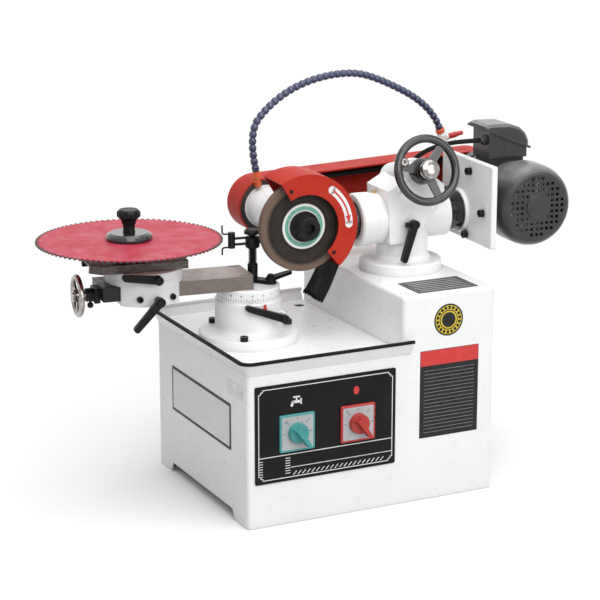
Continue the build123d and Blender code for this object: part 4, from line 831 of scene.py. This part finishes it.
def buildSwitchFaces(face, corner, depth, turns, tickFrom, tickTo, tick, ink, figures, figureSize,
                     figureLift):
    for name, node, joint in (("coolantSwitchFace", "coolant_switch", "coolant_knob_turn"),
                              ("motorSwitchFace", "motor_switch", "motor_knob_turn")):
        centre = jointPlace[joint]
        seat = facing((centre.x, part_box(node)[0].y, centre.z), (1, 0, 0), up)
        bm = bmesh.new()
        plate(bm, seat, roundedRect(0, 0, face, face, corner), *depth)
        for turn in turns:
            plate(bm, seat, bar(*polar(tickFrom, turn), *polar(tickTo, turn), tick), *ink, 1)
        for text, x, y in figures:
            for outline in figure(text, figureSize):
                corners = [bm.verts.new(at(seat, x + px, y + py, figureLift)) for px, py in outline]
                bm.faces.new(corners).material_index = 1
        addPiece(name, bm, [faceSilver, signBlack], "cabinet")
    print("switch faces set")


buildPanelLines(**panelLook)
buildPanelSigns(**panelSignLook)
buildSwitchFaces(**switchLook)


# Signs and bare plates on the cabinet

def layered(seat, box, layers):  # rounded plates: inset, corner, two heights and a finish for each
    x0, y0, x1, y1 = box
    bm = bmesh.new()
    for inset, corner, low, high, index in layers:
        width, height = x1 - x0 - 2 * inset, y1 - y0 - 2 * inset
        plate(bm, seat, roundedRect((x0 + x1) / 2, (y0 + y1) / 2, width, height, corner), low, high, index)
    return bm


stickerLook = dict(
    centre=(137, 304), radius=27, rings=(1, 0.9, 0.62, 0.56, 0.47), lift=0.22, liftStep=0.07, sides=56,
    marks=18, mark=13, markSteps=4, markReach=(0.67, 0.86), markInk=(0.2, 0.36))


def buildSticker(centre, radius, rings, lift, liftStep, sides, marks, mark, markSteps, markReach, markInk):
    seat = facing((centre[0] * mm, frontY, centre[1] * mm), (1, 0, 0), up)
    inner, outer = markReach
    bm = bmesh.new()
    for layer, share in enumerate(rings):  # black and yellow rings by turns
        plate(bm, seat, disc(0, 0, radius * share, sides), 0, lift + liftStep * layer, layer % 2)
    for k in range(marks):  # plain dashes round the yellow ring
        start = 360 * k / marks
        ringBand(bm, seat, radius * inner, radius * outer, start, start + mark, *markInk, markSteps, 0)
    addPiece("roundSticker", bm, [signBlack, signYellow], "cabinet")


def ruled(bm, seat, left, right, row, step, count, width, ink, index):  # plain rules where the print was
    for _ in range(count):
        plate(bm, seat, bar(left, row, right, row, width), *ink, index)
        row += step


noticeLook = dict(
    box=(85, 107, 195, 256), layers=[(0, 1.2, 0, 0.3, 0)], head=26, edge=0.6, headInk=(0.1, 0.38),
    rules=dict(left=93, right=187, row=221.32, step=-6.2, count=18, width=0.4, ink=(0.2, 0.36), index=2))


def buildNotice(box, layers, head, edge, headInk, rules):
    x0, y0, x1, y1 = box
    seat = facing((0, frontY, 0), (1, 0, 0), up)
    bm = layered(seat, box, layers)
    plate(bm, seat, [(x0 + edge, y1 - head), (x1 - edge, y1 - head), (x1 - edge, y1 - edge),
                     (x0 + edge, y1 - edge)], *headInk, 1)
    ruled(bm, seat, **rules)
    addPiece("noticePlate", bm, [signBlack, signRed, faceSilver], "cabinet")


sideLook = dict(
    board=(-120, 115, 120, 193), boardLayers=((0, 2, 0, 0.6, 1), (5, 1, 0, 0.75, 0)),
    tag=(108, 211, 166, 233), tagLayers=[(0, 1.5, 0, 0.5, 0)],
    rivets=((112, 222, 0.5), (162, 222, 0.5)), rivetSides=14,
    rivet=[(core, 0), (1.8, 0), (1.5, 0.6), (core, 0.9)])


def buildSideSigns(board, boardLayers, tag, tagLayers, rivets, rivet, rivetSides):
    seat = facing((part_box("cabinet_shell")[0].x, 0, 0), (0, -1, 0), up)
    bm = layered(seat, board, boardLayers)
    addPiece("sidePlate", bm, [signWhite, signBlack], "cabinet")
    bm = layered(seat, tag, tagLayers)
    for x, y, z in rivets:
        spot = seat @ Matrix.Translation((x * mm, y * mm, z * mm))
        lathe(bm, spot, rivet, rivetSides, 1)
    addPiece("sideTag", bm, [aluminium, steel], "cabinet")


topLook = dict(
    box=(88, -169, 201, -97),
    layers=((0, 1.5, 0, 0.35, 0), (4, 1, 0.1, 0.42, 1), (5, 1, 0.2, 0.48, 0)),
    rules=dict(left=97, right=192, row=-159, step=10, count=6, width=3.4, ink=(0.3, 0.54), index=1))


def buildTopPlate(box, layers, rules):
    seat = facing((0, 0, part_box("cabinet_shell")[1].z), (1, 0, 0), (0, 1, 0))
    bm = layered(seat, box, layers)
    ruled(bm, seat, **rules)
    addPiece("topPlate", bm, [signBlack, faceSilver], "cabinet")
    print("signs and plates set")


buildSticker(**stickerLook)
buildNotice(**noticeLook)
buildSideSigns(**sideLook)
buildTopPlate(**topLook)


# Graduations of the swivel ring and their pointer

scaleLook = dict(
    radius=52.56, foot=335, step=5, tick=3.5, longStep=10, longTick=6, width=0.7, figureStep=20,
    figureShift=60, figureHeight=345, figureSize=4.6)


def buildScale(radius, foot, step, tick, longStep, longTick, width, figureStep, figureShift, figureHeight,
               figureSize):
    origin = onTable(0, 0, 0)
    around = radius * mm

    def wrap(offset, bearing, z):  # millimetres round the ring from a bearing in degrees
        turn = math.radians(bearing) + offset * mm / around
        return origin + (tableAlong * math.cos(turn) + tableBack * math.sin(turn)) * around + up * z * mm

    bm = bmesh.new()
    for bearing in range(-180, 180, step):
        high = foot + (tick if bearing % longStep else longTick)
        corners = ((-width / 2, foot), (width / 2, foot), (width / 2, high), (-width / 2, high))
        bm.faces.new([bm.verts.new(wrap(dx, bearing, z)) for dx, z in corners])
        if bearing % figureStep == 0:
            for face in figure(str(abs(bearing + figureShift) % 100), figureSize):
                bm.faces.new([bm.verts.new(wrap(px, bearing, figureHeight + py)) for px, py in face])
    addPiece("ringScale", bm, [signBlack], "table")


pointerLook = dict(
    bearing=-78.5, height=324, reach=55, size=(11, 15, 2), depth=(-0.6, 0.8), markDepth=(0.2, 1.1),
    mark=[(-5, -5), (5, -5), (2, 6.5), (-2, 6.5)])


def buildPointer(bearing, height, reach, size, depth, markDepth, mark):
    across, back = polar(1, bearing)
    out = tableAlong * across + tableBack * back
    spot = onTable(0, 0, height) + out * reach * mm
    seat = facing(spot, up.cross(out), up)
    bm = bmesh.new()
    plate(bm, seat, roundedRect(0, 0, *size), *depth, 0)
    plate(bm, seat, mark, *markDepth, 1)
    addPiece("scalePointer", bm, [signWhite, signRed], "cabinet")
    print("ring graduated")


buildScale(**scaleLook)
buildPointer(**pointerLook)


# Carbide tips brazed to the blade's teeth

tipLook = dict(  # corners are a share of a tooth's pitch and a reach
    teeth=96, corners=((-0.03, 145.6), (0.05, 149.8), (0.17, 149.5), (0.1, 145.6)), proud=0.35)


def buildTips(teeth, corners, proud):
    low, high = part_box("saw_blade")
    seat = facing(jointPlace["blade_turn"], tableAlong, tableBack)
    bm = bmesh.new()
    for tooth in range(teeth):
        outline = [polar(reach, -360 * (tooth + share) / teeth) for share, reach in corners]
        plate(bm, seat, outline, -proud, (high.z - low.z) / mm + proud)
    addPiece("bladeTips", bm, [carbide], "blade")
    print("blade tipped")


buildTips(**tipLook)


# Grinding wheel label and guard trim

labelLook = dict(  # inner and outer radius, turn, two heights
    white=(25.2, 37.5, 0, 359.99, 0, 0.18), green=(27.4, 33.5, 0, 359.99, 0.1, 0.3), steps=64)


def buildWheelLabel(white, green, steps):
    seat = facing(spindleAt + headBack * nearest("grinding_wheel", spindleAt, headBack), headAlong, up)
    bm = bmesh.new()
    for index, band in enumerate((white, green)):
        ringBand(bm, seat, *band, steps, index)
    addPiece("wheelLabel", bm, [signWhite, labelGreen], "spindle")
    print("wheel labelled")


guardLook = dict(
    radius=73.5, band=13, bandTurn=(1, 54), bandInk=(0, 0.25), shaft=3, shaftTurn=(11, 52), steps=30,
    endSides=28, arrow=((0, 2), (5, 12), (-5, 12)), arrowInk=(0.2, 0.42), screw=(3, 2.2),
    screws=((69, 114.5), (64, -43.5)), rim=88.5, rimScrews=(27, -18, -35), rimInset=8)


def buildGuardTrim(radius, band, bandTurn, bandInk, shaft, shaftTurn, steps, endSides, arrow, arrowInk,
                   screw, screws, rim, rimScrews, rimInset):
    face = nearest("wheel_guard", spindleAt, headBack)
    seat = facing(spindleAt + headBack * face, headAlong, up)
    bm = bmesh.new()
    ringBand(bm, seat, radius - band / 2, radius + band / 2, *bandTurn, *bandInk, steps, 0)
    for turn in bandTurn:
        plate(bm, seat, disc(*polar(radius, turn), band / 2, endSides), *bandInk, 0)
    ringBand(bm, seat, radius - shaft / 2, radius + shaft / 2, *shaftTurn, *arrowInk, steps, 1)
    plate(bm, seat, [polar(radius + shift, turn) for shift, turn in arrow], *arrowInk, 1)
    addPiece("guardArrow", bm, [signWhite, signRed], "wheelhead")
    bm = bmesh.new()
    for reach, turn in screws:
        x, y = polar(reach, turn)
        screwHead(bm, seat @ Matrix.Translation((x * mm, y * mm, 0)), *screw)
    for turn in rimScrews:
        across, rise = polar(1, turn)
        out = headAlong * across + up * rise
        spot = spindleAt + headBack * (face + rimInset * mm) + out * rim * mm
        screwHead(bm, facing(spot, headBack, out.cross(headBack)), *screw)
    addPiece("guardScrews", bm, [blackOxide], "wheelhead")
    print("guard trimmed")


buildWheelLabel(**labelLook)
buildGuardTrim(**guardLook)


# Small fittings of the table and the head

fittingLook = dict(  # outlines are radius and height
    gibs=((-199, 359), (-143.5, 358.2)), gib=(5, 7), gibSunk=1.5, drum=(-177, 63.5),
    lockPlace=(-265.5, 0, 347.6),
    lock=[(core, -1), (2.4, -1), (2.4, 2.5), (4.6, 4), (5.2, 7), (4.4, 10), (2.2, 11.4),
          (core, 11.6)],
    screwPlace=(-19, -43.5, 490), screw=(4.6, 3.2), nipplePlace=(-46, 0, 482.5),
    nipple=[(core, -0.5), (3.6, -0.5), (3.6, 2.5), (2.2, 3.2), (2.2, 5.5), (1.2, 6.6), (core, 6.6)],
    cap=[(core, 3.4), (6.8, 3), (11.9, 1.8), (15.64, -0.4), (17, -3.5), (17, -9.5), (15.8, -9.5),
         (15.8, -3), (core, 0.5)],
    collar=[(16.5, 2.5), (19.2, 2.5), (20, 1.6), (21.6, -12), (22.4, -14), (22.4, -22), (20.5, -23),
            (16.5, -23)],
    bossPlace=(-41.3, 16.2), boss=[(core, -14), (8, -14), (8, -3), (7, -2), (core, -2)],
    bossRing=[(3.2, -2.5), (6.2, -2.5), (6.2, -1.2), (5.6, -0.8), (3.6, -0.8), (3.2, -1.2)],
    sides=dict(lock=24, nipple=20, cap=40, collar=40, boss=32))


def buildFittings(gibs, gib, gibSunk, drum, lockPlace, lock, screwPlace, screw, nipplePlace, nipple, cap,
                  collar, bossPlace, boss, bossRing, sides):
    bm = bmesh.new()
    middle, radius = drum
    for x, z in gibs:
        front = -math.sqrt(radius ** 2 - (x - middle) ** 2)
        screwHead(bm, facing(onTable(x, front + gibSunk, z), tableAlong, up), *gib)
    addPiece("gibScrews", bm, [blackOxide], "carriage")
    seat = facing(onTable(*lockPlace), tableAlong, -tableBack)
    turned("screwLockKnob", seat, lock, sides["lock"], blackPlastic, "table")

    bm = bmesh.new()
    # its ring darkens through the castWhite grime: painted shade
    screwHead(bm, facing(onHead(*screwPlace), headAlong, up), *screw)
    addPiece("blockScrew", bm, [castWhite], "head")
    seat = facing(onHead(*nipplePlace), headAlong, headBack)
    turned("oilNipple", seat, nipple, sides["nipple"], brass, "head")

    hub, axis = jointPlace["traverse_turn"], jointAxis["traverse_turn"]
    rise = headAlong.cross(axis)  # up along the leaning wheel
    seat = facing(hub + axis * nearest("traverse_pinion", hub, axis), headAlong, rise)
    turned("handwheelCap", seat, cap, sides["cap"], chrome, "traverse")
    seat = facing(hub, headAlong, rise)
    turned("wheelCollar", seat, collar, sides["collar"], wheelPlastic, "head")

    x, y = bossPlace
    seat = facing(hub + axis * nearest("traverse_handwheel", hub, axis), headAlong, rise)
    seat = seat @ Matrix.Translation((x * mm, y * mm, 0))
    bm = bmesh.new()
    lathe(bm, seat, boss, sides["boss"], 0)
    lathe(bm, seat, bossRing, sides["boss"], 1)
    addPiece("crankBoss", bm, [wheelPlastic, chrome], "traverse")
    print("fittings set")


buildFittings(**fittingLook)


# Studio: floor, light and camera

def whiteToCamera(tree):  # 1 for camera, glossy and transmission rays
    path = addNode(tree, "ShaderNodeLightPath").outputs
    seen = times(path["Is Camera Ray"], path["Is Glossy Ray"], "MAXIMUM")
    return times(seen, path["Is Transmission Ray"], "MAXIMUM")


def mixShaders(share, first, second):
    return addNode(share.id_data, "ShaderNodeMixShader", {0: share, 1: first, 2: second}).outputs[0]


skyLook = dict(low=0.3, high=1)  # the ceiling is brighter than the walls


def buildWorld(low, high):
    world = bpy.data.worlds.new("studio")
    scene.world = world
    world.use_nodes = True
    tree = world.node_tree
    place = addNode(tree, "ShaderNodeTexCoord").outputs["Generated"]
    height = addNode(tree, "ShaderNodeSeparateXYZ", {0: place}).outputs["Z"]
    sky = spread(height, 0, 1, low, high)
    ambient = tree.nodes["Background"]
    fill(ambient, {"Color": (1, 1, 1, 1), "Strength": sky})
    backdrop = addNode(tree, "ShaderNodeBackground", {"Color": (1, 1, 1, 1)}).outputs[0]
    surface = mixShaders(whiteToCamera(tree), ambient.outputs[0], backdrop)
    fill(tree.nodes["World Output"], {"Surface": surface})


floorLook = dict(  # gives back less light than it shows
    colour=(0.86, 0.86, 0.86, 1), bounce=(0.42, 0.42, 0.42, 1), rough=0.9, radius=30, sides=64, drop=0.0005,
    fade=(0.5, 1.5))


def buildFloor(colour, bounce, rough, radius, sides, drop, fade):
    mat, tree, bsdf, place = newFinish("studioFloor")
    fill(bsdf, {"Roughness": rough, "Base Color": colour})
    far = spread(vectorMath("LENGTH", place), *fade)
    dull = addNode(tree, "ShaderNodeBsdfDiffuse", {"Color": bounce}).outputs[0]
    shown = mixShaders(whiteToCamera(tree), dull, bsdf.outputs[0])
    white = addNode(tree, "ShaderNodeEmission").outputs[0]
    surface = mixShaders(times(far, whiteToCamera(tree)), shown, white)
    fill(tree.nodes["Material Output"], {"Surface": surface})
    bm = bmesh.new()
    bmesh.ops.create_circle(bm, cap_ends=True, segments=sides, radius=radius)
    floor = bpy.data.objects.new("studioFloor", meshFrom("studioFloor", bm))
    scene.collection.objects.link(floor)
    floor.data.materials.append(mat)
    floor.location.z = -drop


lampLook = dict(  # a lamp is a power, a size and a place
    key=(62, 2.6, (-0.9, -3.2, 3)), fill=(40, 2.4, (1.2, -3.6, 1.6)), top=(50, 2.8, (0.2, -0.4, 3.2)))


def buildLamps(lamps, aim):
    for name, (power, size, place) in lamps.items():
        lamp = bpy.data.lights.new(name, "AREA")
        lamp.energy = power
        lamp.size = size
        holder = bpy.data.objects.new(name, lamp)
        scene.collection.objects.link(holder)
        holder.location = place
        holder.rotation_euler = (aim - holder.location).to_track_quat("-Z", "Y").to_euler()
    scene.view_settings.view_transform = "Standard"
    print("studio lit")


cameraLook = dict(place=(-1.5118, -2.9803, 1.2095), azimuth=-26.24, pitch=15.08, lens=123.84, sensor=36)


def buildCamera(place, azimuth, pitch, lens, sensor):
    data = bpy.data.cameras.new("photoView")
    data.lens = lens
    data.sensor_width = sensor
    camera = bpy.data.objects.new("photoView", data)
    scene.collection.objects.link(camera)
    camera.location = place
    camera.rotation_euler = (math.radians(90 - pitch), 0, math.radians(azimuth))
    scene.camera = camera
    print("camera set")


buildWorld(**skyLook)
buildFloor(**floorLook)
buildLamps(lampLook, aim=Vector((0, 0, 0.3)))
buildCamera(**cameraLook)
